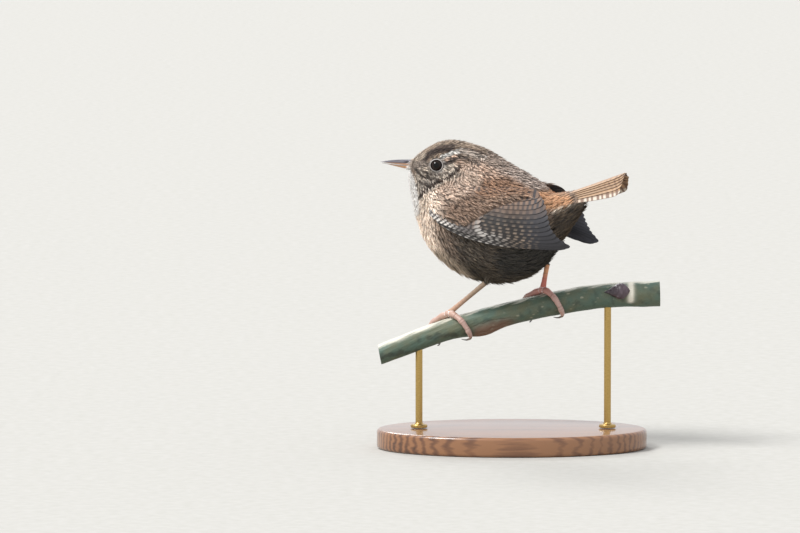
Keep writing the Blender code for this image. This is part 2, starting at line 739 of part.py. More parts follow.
def make_wing(side, skin, bird):
    """A wing feather by feather on its bed, made as a left one and mirrored for the right."""
    lift = RIGHT_WING_LIFT if side == "right" else 0.0
    wing = wing_bed(skin, lift, bird)
    feathers = []
    for rows, count, sheet in WING_TIERS:
        for index, row in enumerate(reversed(smooth_path(rows, count))):
            feathers.append(wing_feather(skin, row, sheet + VANE_LIFT * index, lift, bird))
    keep_largest(union(wing, feathers))
    grown = object_from("cut", body_skin(GAP), parent=bird)
    keep_largest(boolean(wing, grown, "DIFFERENCE", "MANIFOLD"))
    if side == "right":
        bm = bmesh.new()
        bm.from_mesh(wing.data)
        bmesh.ops.scale(bm, vec=(1, -1, 1), verts=bm.verts)
        bmesh.ops.reverse_faces(bm, faces=bm.faces)
        bm.to_mesh(wing.data)
        bm.free()
    finish_part(wing, "wing_" + side, "barred_feathers", 30)


def make_wings(bird):
    bm = body_skin()
    skin = BVHTree.FromBMesh(bm)
    bm.free()
    for side in ("left", "right"):
        make_wing(side, skin, bird)


# Bill


def bill_edges(run):
    """Heights of the culmen, the mouth line and the lower edge, and the half width."""
    culmen_power, mouth_power, lower_power, width_power = BILL_CURVES
    culmen = CULMEN_Z + (BILL_TIP_Z - CULMEN_Z) * run**culmen_power
    mouth = MOUTH_Z + (BILL_TIP_Z - MOUTH_DROP - MOUTH_Z) * run**mouth_power
    lower = BILL_LOWER_Z + (BILL_TIP_Z - LOWER_DROP - BILL_LOWER_Z) * run**lower_power
    half = BILL_TIP_HALF_WIDTH + (BILL_HALF_WIDTH - BILL_TIP_HALF_WIDTH) * (1 - run) ** width_power
    return culmen, mouth, lower, half


def mandible(upper, reach):
    """Half of the bill: rounded outside, flat along the mouth."""

    def place(angle, run):
        run *= reach
        culmen, mouth, lower, half = bill_edges(run)
        flat = mouth + (GAP / 2 if upper else -GAP / 2)
        far = max(culmen, flat + BILL_TIP_DEPTH) if upper else min(lower, flat - BILL_TIP_DEPTH)
        rise = max(math.sin(angle), 0.0) ** BILL_ROUNDNESS
        lean = (CULMEN_Z - (flat + (far - flat) * rise)) * BILL_LEAN * (1 - run)
        x = BILL_ROOT_X - run * BILL_LENGTH - lean
        return Vector((x, half * math.cos(angle), flat + (far - flat) * rise)) - NECK_PIVOT

    return wrapped(16, 12, place)


def make_bill(head_axis):
    upper = object_from("bill_upper", mandible(True, 1.0), parent=head_axis)
    for sign in (-1, 1):
        where = NOSTRIL * Vector((1, sign, 1)) - NECK_PIVOT
        pit = ball(NOSTRIL_RADIUS, where, stretch=NOSTRIL_STRETCH, segments=12)
        boolean(upper, object_from("nostril", pit, parent=head_axis), "DIFFERENCE")
    finish_part(keep_largest(upper), "bill_upper", "bill_horn")
    lower = object_from("bill_lower", mandible(False, LOWER_REACH), parent=head_axis)
    finish_part(lower, "bill_lower", "bill_horn")


# Branch


def perch_centre(x):
    """The branch's centre at x, and its upward direction there."""
    path = smooth_path(PERCH_LINE, 61) * MM
    z = float(np.interp(x, path[:, 0], path[:, 1]))
    ahead = float(np.interp(x + MM, path[:, 0], path[:, 1]))
    behind = float(np.interp(x - MM, path[:, 0], path[:, 1]))
    along = Vector((2 * MM, 0, ahead - behind)).normalized()
    return Vector((x, 0, z)), Vector((-along.z, 0, along.x))


def perch_radius(x, angle):
    """The branch's radius at x. The angle is measured from its top."""
    start, end = PERCH_LINE[0][0] * MM, PERCH_LINE[-1][0] * MM
    share = (x - start) / (end - start)
    swell = SWELLING * math.exp(-(((x - SWELLING_X) / SWELLING_LENGTH) ** 2))
    radius = PERCH_RADII[0] + (PERCH_RADII[1] - PERCH_RADII[0]) * share
    return radius + swell * max(-math.cos(angle), 0.0) ** 2


def perch_point(x, angle, height=0.0):
    centre, up = perch_centre(x)
    out = up * math.cos(angle) + Vector((0, math.sin(angle), 0))
    return centre + out * (perch_radius(x, angle) + height)


def perch_skin(grow=0.0):
    start, end = PERCH_LINE[0][0] * MM - grow, PERCH_LINE[-1][0] * MM + grow

    def place(angle, run):
        return perch_point(start + (end - start) * run, angle, grow)

    return wrapped(PERCH_SIDES, PERCH_RINGS, place)


def make_perch():
    finish_part(object_from("perch", perch_skin()), "perch", "bark")


def make_bud():
    """A pointed bud pressed against the branch, its tip towards the thin end."""
    start, end = BUD_X

    def place(angle, run):
        x = start + (end - start) * run
        back, bluntness = BUD_SHAPE
        girth = BUD_RADIUS * (BUD_TIP + max(math.sin(math.pi * run**back), 0.0) ** bluntness)
        centre = perch_point(x, BUD_ANGLE, BUD_HEIGHT)
        _, up = perch_centre(x)
        out = up * math.cos(BUD_ANGLE) + Vector((0, math.sin(BUD_ANGLE), 0))
        along = Vector((0, 1, 0)).cross(up)
        across = out.cross(along)
        return centre + (across * math.cos(angle) + out * BUD_FLATTENING * math.sin(angle)) * girth

    bud = object_from("perch_bud", wrapped(12, 10, place))
    grown = object_from("cut", perch_skin(GAP))
    finish_part(keep_largest(boolean(bud, grown, "DIFFERENCE")), "perch_bud", "bud_scales")


# Legs and feet


def in_world(bird, point):
    return bird.matrix_world @ (Vector(point) * MM)


def toe_path(foot_x, wrap, reach):
    """A toe's places over the branch, as x and the angle round it."""
    points = []
    for run in np.linspace(0.0, 1.0, TOE_POINTS):
        x = foot_x + reach * MM * math.sin(run * math.pi / 2)
        points.append((x, math.radians(wrap) * run))
    return points


def make_foot(side, foot_x, toes):
    """The pad and four toes of a foot, gripping the branch."""
    pad_height = GAP + FOOT_PAD * PAD_FLATTENING
    pad_centre = perch_point(foot_x, 0.0, pad_height)
    _, up = perch_centre(foot_x)
    turn = up.to_track_quat("Z", "Y").to_matrix()
    pad = ball(FOOT_PAD, pad_centre, stretch=(1.0, 1.0, PAD_FLATTENING), segments=14, turn=turn)
    foot = object_from("foot_" + side, pad)
    pieces = []
    for name, (wrap, reach, back) in toes.items():
        route = toe_path(foot_x, wrap, reach)
        radii = [r + SCUTE_HEIGHT * (i % 2) for i, r in enumerate(np.linspace(*TOE_RADII, TOE_POINTS))]
        points = [
            perch_point(x, angle, GAP + radius) for (x, angle), radius in zip(route, radii)
        ]
        pieces.append(tube("toe_" + name, points, radii))
        make_claw("claw_" + side + "_" + name, foot_x, wrap, reach, back, points)
    return foot, pieces, pad_centre


def make_claw(name, foot_x, wrap, reach, back, toe):
    """A hooked claw that goes on round the branch from the toe's end."""
    end = toe[-1]
    ahead = (toe[-1] - toe[-2]).normalized()
    x = foot_x + reach * MM
    points, radii = [], []
    for run in np.linspace(0, 1, CLAW_POINTS):
        angle = math.radians(wrap + math.copysign(CLAW_TURN, wrap) * run)
        height = GAP + CLAW_RADIUS + CLAW_HUMP * math.sin(math.pi * run) - CLAW_DROP * run
        round_branch = perch_point(x + back * MM * run**1.5, angle, height)
        blend = min(run * 2.5, 1.0)
        straight = end + ahead * (2 * GAP + CLAW_STRAIGHT * run)
        points.append(straight.lerp(round_branch, blend))
        radii.append(CLAW_RADIUS * (1.0 - CLAW_TAPER * run))
    points[0] = end + ahead * GAP
    claw = tube(name, points, radii)
    finish_part(claw, name, "claw_horn")


def make_legs(bird):
    for side, leg in LEGS.items():
        foot_x = leg["foot_x"] * MM
        foot, pieces, pad_centre = make_foot(side, foot_x, TOES)
        heel = in_world(bird, leg["heel"])
        up_leg = (heel - pad_centre).normalized()
        ankle = pad_centre + up_leg * ANKLE_HEIGHT
        stub_radii = [TARSUS_RADIUS * share for share in ANKLE_SHARES]
        pieces.append(tube("stub", [pad_centre, ankle], stub_radii))
        union(foot, pieces)
        finish_part(keep_largest(foot), "foot_" + side, "leg_skin")
        start = ankle + up_leg * GAP
        length = (heel - start).length
        scutes = max(round(length / SCUTE_LENGTH), 2)
        points, radii = [], []
        for scute in range(scutes):
            for run, raised in ((0.0, 0.0), (0.82, 1.0)):
                share = (scute + run) / scutes
                points.append(start.lerp(heel, share))
                waist = TARSUS_WAIST[0] - TARSUS_WAIST[1] * share * (1 - share)
                radii.append(TARSUS_RADIUS * waist + SCUTE_HEIGHT * raised)
        tarsus = tube("tarsus_" + side, points + [heel], radii + [TARSUS_RADIUS])
        finish_part(tarsus, "tarsus_" + side, "leg_skin")
        knee = heel + up_leg * (GAP + THIGH_LENGTH * THIGH_KNEE)
        toward = (THIGH_TOWARD[0], leg["heel"][1], THIGH_TOWARD[1])
        inward = (in_world(bird, toward) - heel).normalized()
        thigh_points = [knee + inward * THIGH_LENGTH * share for share in (0.3, 0.7, 1)]
        thigh_points = [heel + up_leg * GAP, knee] + thigh_points
        thigh_radii = [THIGH_RADIUS * share for share in THIGH_SHARES]
        thigh = tube("thigh_" + side, thigh_points, thigh_radii, 12)
        grown = object_from("cut", body_skin(GAP), parent=bird)
        keep_largest(boolean(thigh, grown, "DIFFERENCE"))
        finish_part(thigh, "thigh_" + side, "pale_plumage")


# Stand


def make_stand():
    bm = bmesh.new()
    bmesh.ops.create_cone(
        bm, cap_ends=True, segments=56, radius1=0.5, radius2=0.5, depth=BASE_HEIGHT
    )
    bmesh.ops.scale(bm, vec=(BASE_LENGTH, BASE_WIDTH, 1), verts=bm.verts)
    bmesh.ops.translate(bm, vec=(0, 0, BASE_HEIGHT / 2), verts=bm.verts)
    rims = [e for e in bm.edges if abs(e.verts[0].co.z - e.verts[1].co.z) < MERGE]
    bmesh.ops.bevel(
        bm, geom=rims, offset=BASE_BEVEL, segments=2, profile=0.5, affect="EDGES", material=-1
    )
    finish_part(object_from("stand_base", bm), "stand_base", "base_wood", 30)
    for side, x in ROD_X.items():
        rod = turned_rod("stand_rod_" + side, x)
        grown = object_from("cut", perch_skin(GAP))
        keep_largest(boolean(rod, grown, "DIFFERENCE"))
        finish_part(rod, "stand_rod_" + side, "rod_brass", 30)


def turned_rod(name, x):
    """A rod with a collar at its foot, as a profile spun round its axis."""
    foot = BASE_HEIGHT + GAP
    top = perch_centre(x)[0].z
    profile = (
        (0, foot),
        (COLLAR_RADIUS, foot),
        (COLLAR_RADIUS, foot + COLLAR_HEIGHT * 0.6),
        (ROD_RADIUS, foot + COLLAR_HEIGHT),
        (ROD_RADIUS, top),
        (0, top),
    )
    bm = bmesh.new()
    verts = [bm.verts.new((radius, 0, z)) for radius, z in profile]
    edges = [bm.edges.new(pair) for pair in zip(verts, verts[1:])]
    bmesh.ops.spin(
        bm,
        geom=verts + edges,
        cent=(0, 0, 0),
        axis=(0, 0, 1),
        angle=math.tau,
        steps=20,
        use_merge=True,
    )
    bmesh.ops.remove_doubles(bm, verts=bm.verts, dist=MERGE)
    bmesh.ops.recalc_face_normals(bm, faces=bm.faces)
    bmesh.ops.translate(bm, vec=(x, 0, 0), verts=bm.verts)
    return object_from(name, bm)


def main():
    clear_scene()
    bird = bpy.data.objects.new("bird", None)
    head_axis = bpy.data.objects.new("head_axis", None)
    for empty in (bird, head_axis):
        collection("wren").objects.link(empty)
    bird.location = BODY_CENTRE
    bird.rotation_euler = (0, 0, BODY_YAW)
    head_axis.parent = bird
    head_axis.location = NECK_PIVOT
    head_axis.rotation_euler = (0, 0, HEAD_TURN)
    bpy.context.view_layer.update()
    make_head(head_axis)
    make_bill(head_axis)
    make_neck(bird)
    make_torso(bird)
    make_rump_and_vent(bird)
    make_tail(bird)
    make_wings(bird)
    make_perch()
    make_bud()
    make_legs(bird)
    make_stand()


main()
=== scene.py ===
# A life-size wren on a cut length of branch, with the finish of a museum model.
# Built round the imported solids: metres, +Z up. The work is done in millimetres and scaled at the end.
import math

import bmesh
import bpy
import numpy as np
from mathutils import Matrix, Vector
from mathutils.bvhtree import BVHTree


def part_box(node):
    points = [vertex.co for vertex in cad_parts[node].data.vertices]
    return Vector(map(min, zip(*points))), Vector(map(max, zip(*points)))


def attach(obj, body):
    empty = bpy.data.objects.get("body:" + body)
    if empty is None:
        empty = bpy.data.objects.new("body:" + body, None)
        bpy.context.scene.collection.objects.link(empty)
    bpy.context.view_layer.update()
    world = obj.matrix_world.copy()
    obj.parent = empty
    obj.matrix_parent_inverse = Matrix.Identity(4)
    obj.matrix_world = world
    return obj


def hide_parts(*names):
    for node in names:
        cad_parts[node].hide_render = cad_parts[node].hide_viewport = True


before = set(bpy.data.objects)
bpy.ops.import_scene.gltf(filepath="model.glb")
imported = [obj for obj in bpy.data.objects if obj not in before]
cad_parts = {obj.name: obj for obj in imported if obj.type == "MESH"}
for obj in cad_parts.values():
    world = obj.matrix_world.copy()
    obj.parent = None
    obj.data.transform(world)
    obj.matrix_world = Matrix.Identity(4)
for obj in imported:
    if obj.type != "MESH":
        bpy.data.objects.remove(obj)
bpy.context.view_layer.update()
mm = 0.001
weld = 0.002  # millimetres
rng = np.random.default_rng(7)
print("frame loaded:", len(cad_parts), "nodes")


# Colours and materials

def linear(code):  # sRGB hex to linear RGB
    parts = [int(code[i:i + 2], 16) / 255 for i in (1, 3, 5)]
    return np.array([p / 12.92 if p <= 0.04045 else ((p + 0.055) / 1.055) ** 2.4 for p in parts])


def rgba(code):
    return (*linear(code), 1.0)


def palette(**codes):
    return {name: linear(code) for name, code in codes.items()}


def blend(a, b, share):
    return a + (b - a) * np.asarray(share)[..., None]


def addNode(material, kind, settings=None, inputs=None, links=None):
    node = material.node_tree.nodes.new(kind)
    for name, value in (settings or {}).items():
        setattr(node, name, value)
    for socket, value in (inputs or {}).items():
        node.inputs[socket].default_value = value
    for socket, source in (links or {}).items():
        material.node_tree.links.new(source, node.inputs[socket])
    return node


def newMaterial(name, roughness, **shader):
    material = bpy.data.materials.new(name)
    material.use_nodes = True
    principled = material.node_tree.nodes["Principled BSDF"]
    principled.inputs["Roughness"].default_value = roughness
    for socket, value in shader.items():
        principled.inputs[socket.replace("_", " ")].default_value = value
    return material


def connect(material, source, socket):
    principled = material.node_tree.nodes["Principled BSDF"]
    material.node_tree.links.new(source, principled.inputs[socket])


def addNoise(material, size, detail, vector=None):  # the grain's size is in millimetres
    if vector is None:
        vector = addNode(material, "ShaderNodeTexCoord").outputs["Object"]
    inputs = {"Scale": 1 / (size * mm), "Detail": detail}
    return addNode(material, "ShaderNodeTexNoise", inputs=inputs, links={"Vector": vector}).outputs["Fac"]


def addMapping(material, **inputs):  # the object's own coordinates, moved or stretched
    place = addNode(material, "ShaderNodeTexCoord")
    return addNode(
        material, "ShaderNodeMapping", inputs=inputs, links={"Vector": place.outputs["Object"]},
    ).outputs["Vector"]


def addRamp(material, source, *stops):  # the base colour along a ramp
    node = addNode(material, "ShaderNodeValToRGB", links={"Fac": source})
    ramp = node.color_ramp
    while len(ramp.elements) < len(stops):
        ramp.elements.new(0.5)
    for element, (at, code) in zip(ramp.elements, stops):
        element.position = at
        element.color = rgba(code)
    connect(material, node.outputs["Color"], "Base Color")


def addBump(material, source, strength, depth):  # the depth is in millimetres
    inputs = {"Strength": strength, "Distance": depth * mm}
    node = addNode(material, "ShaderNodeBump", inputs=inputs, links={"Height": source})
    connect(material, node.outputs["Normal"], "Normal")


def paintedMaterial(name, roughness, grainSize, grainDepth, bumpDepth, detail=4.0, strength=0.6, **shader):
    # colours from the piece's own points, broken up by a fine grain of a real size in millimetres
    material = newMaterial(name, roughness, **shader)
    tint = addNode(material, "ShaderNodeAttribute", {"attribute_name": "plumage"})
    grain = addNoise(material, grainSize, detail)
    depth = addNode(
        material, "ShaderNodeMapRange", inputs={"To Min": 1 - grainDepth, "To Max": 1 + grainDepth},
        links={"Value": grain},
    )
    tone = addNode(
        material, "ShaderNodeVectorMath", {"operation": "SCALE"},
        links={0: tint.outputs["Color"], "Scale": depth.outputs["Result"]},
    )
    connect(material, tone.outputs[0], "Base Color")
    addBump(material, grain, strength, bumpDepth)
    return material


# Meshes

def movedTo(bm, surface):  # sets every point of a grid by surface(angle, run)
    grid = np.array([v.co for v in bm.verts])
    placed = surface((grid[:, 0] + 1) * math.pi, (grid[:, 1] + 1) / 2)
    for vert, point in zip(bm.verts, placed):
        vert.co = point


def rolledGrid(sides, rings, surface):  # a grid rolled into a closed skin in millimetres
    bm = bmesh.new()
    bm.loops.layers.uv.new("lay")
    bmesh.ops.create_grid(bm, x_segments=sides, y_segments=rings, size=1, calc_uvs=True)
    movedTo(bm, surface)
    bmesh.ops.remove_doubles(bm, verts=bm.verts, dist=weld)
    bmesh.ops.holes_fill(bm, edges=bm.edges, sides=0)
    bmesh.ops.recalc_face_normals(bm, faces=bm.faces)
    return bm


def turnedBody(profile, steps):  # a closed body turned about Z from its radii and heights
    bm = bmesh.new()
    verts = [bm.verts.new((radius, 0, height)) for radius, height in profile]
    edges = [bm.edges.new(pair) for pair in zip(verts, verts[1:])]
    bmesh.ops.spin(
        bm, geom=verts + edges, cent=(0, 0, 0), axis=(0, 0, 1), angle=math.tau, steps=steps, use_merge=True,
    )
    bmesh.ops.remove_doubles(bm, verts=bm.verts, dist=weld)
    border = [e for e in bm.edges if e.is_boundary]
    if border:
        bmesh.ops.bridge_loops(bm, edges=border)
    bmesh.ops.recalc_face_normals(bm, faces=bm.faces)
    return bm


def linkMesh(name, mesh, material, smooth):  # smooth is the angle from which an edge is sharp
    obj = bpy.data.objects.new(name, mesh)
    bpy.context.scene.collection.objects.link(obj)
    mesh.materials.append(material)
    mesh.shade_smooth()
    if smooth:
        mesh.set_sharp_from_angle(angle=math.radians(smooth))
    return obj


def objectFrom(name, bm, material, smooth=0):
    bmesh.ops.scale(bm, vec=(mm, mm, mm), verts=bm.verts)
    mesh = bpy.data.meshes.new(name)
    bm.to_mesh(mesh)
    bm.free()
    return linkMesh(name, mesh, material, smooth)


def tintMesh(mesh, colours):
    tint = mesh.color_attributes.new("plumage", "FLOAT_COLOR", "POINT")
    rows = np.column_stack([colours, np.ones(len(colours))])
    tint.data.foreach_set("color", rows.astype(np.float32).ravel())


def paintMesh(obj, paint):  # point colours from paint(points in millimetres)
    points = np.zeros(len(obj.data.vertices) * 3, np.float32)
    obj.data.vertices.foreach_get("co", points)
    points = points.reshape(-1, 3) / mm
    tintMesh(obj.data, np.broadcast_to(paint(points), points.shape))
    return obj


def finishPiece(obj, slot, *replaced):
    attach(obj, "root")
    if replaced:
        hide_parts(*replaced)


def meshFromArrays(name, parts, material, smooth=0):
    # joins stamped copies: each part has points (copies, verts, 3), faces, colours and baking places
    points, colours, bake = [
        np.concatenate([part[key].reshape(-1, size) for part in parts])
        for key, size in (("points", 3), ("colours", 3), ("bake", 2))
    ]
    faces, base = [], 0
    for part in parts:
        copies, count = part["points"].shape[:2]
        steps = (np.arange(copies) * count)[:, None, None] + base
        faces.append((part["faces"][None] + steps).reshape(-1, 3))
        base += copies * count
    faces = np.concatenate(faces)
    mesh = bpy.data.meshes.new(name)
    mesh.vertices.add(len(points))
    mesh.vertices.foreach_set("co", (points * mm).astype(np.float32).ravel())
    mesh.loops.add(faces.size)
    mesh.loops.foreach_set("vertex_index", faces.astype(np.int32).ravel())
    mesh.polygons.add(len(faces))
    mesh.polygons.foreach_set("loop_start", np.arange(0, faces.size, 3, dtype=np.int32))
    mesh.update(calc_edges=True)
    layer = mesh.uv_layers.new(name="OFBake")
    layer.data.foreach_set("uv", bake[faces.ravel()].astype(np.float32).ravel())
    tintMesh(mesh, colours)
    print(" ", name, len(faces), "triangles")
    return linkMesh(name, mesh, material, smooth)


def smoothPath(knots, count):  # even steps along a Catmull-Rom curve through the knots
    knots = np.array(knots, float)
    ends = np.vstack([2 * knots[0] - knots[1], knots, 2 * knots[-1] - knots[-2]])
    at = np.linspace(0, len(knots) - 1, count)
    index = np.minimum(at.astype(int), len(knots) - 2)
    t = (at - index)[:, None]
    a, b, c, d = ends[index], ends[index + 1], ends[index + 2], ends[index + 3]
    return 0.5 * (2 * b + (c - a) * t + (2 * a - 5 * b + 4 * c - d) * t**2 + (3 * b - 3 * c + d - a) * t**3)


def atStops(stops, value):  # reads a table of (place, value)
    return np.interp(value, *np.array(stops).T)


def alongPath(path, share):  # the rows of a path at shares from 0 to 1
    at = np.clip(share, 0, 1) * (len(path) - 1)
    steps = np.arange(len(path))
    return np.stack([np.interp(at, steps, path[:, k]) for k in range(path.shape[1])], -1)


def unit(vectors):
    return vectors / np.maximum(np.linalg.norm(vectors, axis=-1, keepdims=True), 1e-9)


def dot(a, b):
    return (a * b).sum(-1)


def fade(low, high, value):  # 0 below low, 1 above high, smooth between
    t = np.clip((value - low) / (high - low), 0, 1)
    return t * t * (3 - 2 * t)


def turnZ(points, angle):
    c, s = np.cos(angle), np.sin(angle)
    x, y = points[..., 0], points[..., 1]
    return np.stack([x * c - y * s, x * s + y * c, points[..., 2]], -1)


# Body: sections from the bill's root to the vent, as the point on the back, the point on the
# throat or belly, both as (x, z), and the half width, in the bird's own frame with its tail at +X.

body = {
    "sections": (
        (-26.3, 22.2, -27.2, 18.3, 2.3),
        (-24.4, 24.1, -28.0, 16.0, 4.6),
        (-21.2, 26.3, -27.6, 12.4, 6.7),
        (-16.8, 28.5, -26.9, 8.8, 8.3),
        (-11.6, 29.2, -26.2, 5.0, 9.3),
        (-5.3, 28.0, -25.6, 0.8, 11.2),
        (2.6, 25.0, -23.9, -4.8, 14.0),
        (10.0, 21.0, -19.7, -10.8, 16.4),
        (16.7, 17.6, -11.5, -17.5, 17.4),
        (21.5, 14.8, -1.1, -21.2, 17.2),
        (24.3, 12.6, 8.5, -21.5, 15.8),
        (26.2, 11.5, 17.4, -18.8, 13.0),
        (28.3, 11.6, 24.1, -13.4, 10.2),
        (31.0, 11.9, 29.1, -6.4, 7.8),
        (34.0, 12.4, 33.2, -0.6, 5.6),
        (37.5, 13.0, 37.6, 5.2, 3.6),
    ),
    "centre": np.array((-9.6, 0.0, 80.5)),
    "yaw": math.radians(-24),
    "headTurn": math.radians(20),
    "neckPivot": np.array((-8.2, 0.0, 0.0)),
    "neckPoint": np.array((-14.2, 0.0, 17.0)),
    "neckNormal": np.array((-0.664, 0.0, 0.747)),
    "neckFoot": -8.0,
    "neckTop": -0.5,
    # the fringe round the bill: how far ahead it runs, its reach at the sides and more at the chin
    "fringe": {"run": 0.04, "reach": 1.9, "chin": 1.1, "lower": 0.10, "narrow": 0.2},
}
bodyPath = smoothPath(body["sections"], 421)


def bodyPlain(angle, run):  # a point of the body before the head is turned
    row = alongPath(bodyPath, run)
    middle = (row[..., 0:2] + row[..., 2:4]) / 2
    half = (row[..., 0:2] - row[..., 2:4]) / 2
    fringe = body["fringe"]
    ahead = np.maximum(-run, 0) / fringe["run"]
    high = np.cos(angle) * (1 - fringe["lower"] * ahead)
    x = middle[..., 0] + half[..., 0] * high - ahead * (fringe["reach"] - fringe["chin"] * np.cos(angle))
    z = middle[..., 1] + half[..., 1] * high
    return np.stack([x, row[..., 4] * np.sin(angle) * (1 - fringe["narrow"] * ahead), z], -1)


def headTurned(points):  # all of the turn above the neck, none below it
    height = dot(points - body["neckPoint"], body["neckNormal"])
    share = fade(body["neckFoot"], body["neckTop"], height)
    return body["neckPivot"] + turnZ(points - body["neckPivot"], body["headTurn"] * share)


def toWorld(points):
    return body["centre"] + turnZ(points, body["yaw"])


def bodySurface(angle, run):
    over = np.maximum(run - 1, 0)[..., None]  # feathers that run on past the end go straight on
    tail = bodyPlain(angle, np.ones_like(run)) - bodyPlain(angle, np.full_like(run, 0.99))
    return headTurned(bodyPlain(angle, run) + tail * over * 100)


def surfaceFrame(surface, a, b):
    step = 1e-3
    here = surface(a, b)
    alongA = (surface(a + step, b) - surface(a - step, b)) / (2 * step)
    alongB = (surface(a, b + step) - surface(a, b - step)) / (2 * step)
    return here, alongA, alongB, unit(np.cross(alongB, alongA))


# The photo's view: its frame is 800 x 533, and a pixel is this many millimetres at the bird.

view = {
    "pixel": 0.355,
    "zeroX": 512.0,  # the column of the world's X = 0
    "zeroY": 448.9,  # the row of the floor
    "middle": (400.0, 266.5),
    "elevation": math.radians(5),
    "distance": 2500.0,
}


def nearHalf(points):  # plain body points moved to the near side
    return points * np.array((1, 0, 1)) - np.abs(points) * np.array((0, 1, 0))


def photoPlace(points):  # pixels of plain body points, drawn on the near side
    return photoPixels(toWorld(headTurned(nearHalf(points))))


def photoPixels(world):
    tilt = view["elevation"]
    aimZ = (view["zeroY"] - view["middle"][1]) * view["pixel"]
    rise = (world[..., 2] - aimZ) * math.cos(tilt) + world[..., 1] * math.sin(tilt)
    px = view["zeroX"] + world[..., 0] / view["pixel"]
    return np.stack([px, view["middle"][1] - rise / view["pixel"]], -1)


# Markings of the plumage, the same for skin and coat. Each is a brush stroke in the photo's frame:
# its line, its half width and soft edge in pixels, its colour, and how far it speckles and bars.

markings = {
    # line, half width, soft edge, colour, share of odd feathers, strength of the bars
    "ground": (((500, 200),), 900, 1, "#a08a79", 0.1, 0.0),
    "mantle": (((470, 170), (500, 172), (535, 182)), 20, 16, "#c9ad99", 0.1, 0.0),
    "mantle foot": (((445, 205), (480, 200), (510, 205)), 10, 12, "#a58a77", 0.12, 0.0),
    "scapulars": (((485, 190), (515, 186), (540, 192)), 6, 8, "#a37f66", 0.16, 0.0),
    "back": (((500, 160), (545, 186)), 6, 8, "#b2a094", 0.2, 0.0),
    "neck side": (((425, 205), (448, 192), (468, 180)), 9, 10, "#cdb6a4", 0.08, 0.0),
    "nape": (((475, 150), (505, 160)), 7, 8, "#a99688", 0.2, 0.0),
    "breast": (((418, 205), (426, 235), (440, 255)), 17, 14, "#f3e2d1", 0.07, 0.0),
    "breast side": (((445, 225), (452, 245)), 6, 12, "#c0a894", 0.12, 0.0),
    "flank front": (((455, 240), (462, 262)), 8, 14, "#8b7868", 0.16, 0.35),
    # flank, belly and belly back: dark barred brown plumage, painted darker still as shade under the body
    "flank": (((480, 245), (530, 255), (560, 245)), 16, 14, "#62574a", 0.18, 0.5),
    "belly": (((465, 280), (500, 285), (540, 268)), 12, 14, "#5c5141", 0.18, 0.6),
    "belly back": (((510, 262), (545, 258)), 8, 12, "#37332b", 0.15, 0.5),
    "belly front": (((440, 262), (465, 282)), 5, 9, "#c4b29d", 0.15, 0.4),
    "crown": (((430, 148), (450, 142), (478, 148)), 8, 5, "#a8937f", 0.3, 0.0),
    "crown side": (((424, 161), (429, 154), (440, 150), (454, 149)), 1.6, 2.2, "#4b3c35", 0.2, 0.0),
    "crown streak": (((432, 150), (444, 145.5), (456, 145)), 0.5, 1.2, "#5a4a42", 0.1, 0.0),
    "crown streak back": (((455, 150), (470, 149), (484, 153)), 0.6, 1.5, "#6b584c", 0.1, 0.0),
    "forehead": (((412, 160), (422, 155)), 2.5, 3, "#b5a594", 0.3, 0.0),
    "lore": (((411, 165), (426, 166)), 3.2, 3.5, "#a99a8d", 0.3, 0.0),
    "cheek": (((424, 178), (436, 178), (450, 172)), 7, 5, "#c9bbac", 0.36, 0.0),
    "cheek low": (((418, 190), (430, 186)), 4.5, 5, "#c2b6aa", 0.3, 0.0),
    "supercilium": (((443, 157), (453, 153.5), (463, 150.5)), 1.5, 1.8, "#d2cec8", 0.12, 0.0),
    "supercilium end": (((463, 151), (484, 158)), 1.4, 3.5, "#b9ab9f", 0.25, 0.0),
    "eye stripe": (((445, 163.5), (455, 161), (463, 156.5)), 0.9, 1.5, "#3b302c", 0.0, 0.0),
    "eye stripe end": (((463, 157), (480, 166)), 0.9, 2.6, "#77685d", 0.2, 0.0),
    "moustache": (((416, 170), (422, 177), (431, 180), (440, 181)), 0.5, 1.5, "#51463f", 0.1, 0.0),
    "cheek line": (((424, 172), (429, 175), (437, 176.5), (446, 174)), 0.4, 1.2, "#5b4f48", 0.1, 0.0),
    "jaw line": (((419, 182), (427, 186), (436, 185)), 0.4, 1.2, "#665a52", 0.1, 0.0),
    # painted shade in the fold where the turned head meets the breast
    "fold": (
        ((419, 199), (427, 190), (437, 184), (449, 179), (456, 174), (461, 167)), 0.7, 1.5,
        "#4a3a32", 0.2, 0.0,
    ),
    "throat": (((404, 169), (409, 180), (413, 198), (414, 213)), 3.4, 3.2, "#f0edea", 0.0, 0.0),
    "eye ring": (((437.5, 165.5),), 7.4, 1.4, "#c4bcb4", 0.1, 0.0),
    "rufous coverts": (((545, 200), (562, 202)), 7, 5, "#cb9c76", 0.06, 0.0),
    "covert edge": (((553, 211), (572, 206), (590, 203)), 1.4, 1.6, "#d9c9b6", 0.35, 0.0),
    "vent": (((562, 222), (575, 216), (560, 236)), 9, 6, "#5a4b3a", 0.28, 0.55),
}


def segmentDistance(places, line):
    if len(line) == 1:
        return np.linalg.norm(places - np.array(line[0]), axis=-1)
    best = None
    for start, end in zip(line, line[1:]):
        start, end = np.array(start, float), np.array(end, float)
        span = end - start
        share = np.clip(((places - start) @ span) / (span @ span), 0, 1)
        far = np.linalg.norm(places - start - share[..., None] * span, axis=-1)
        best = far if best is None else np.minimum(best, far)
    return best


def plumageAt(places):  # colour, speckle and bar strength at pixels of the photo
    colour = np.zeros((len(places), 3))
    speck = np.zeros(len(places))
    bar = np.zeros(len(places))
    for line, width, soft, code, speckShare, barShare in markings.values():
        cover = 1 - fade(width, width + soft, segmentDistance(places, line))
        colour += (linear(code) - colour) * cover[:, None]
        speck += (speckShare - speck) * cover
        bar += (barShare - bar) * cover
    return colour, speck, bar


# Feather materials

feather = {"grain": 0.12, "relief": 0.05, "sheen": 0.12}


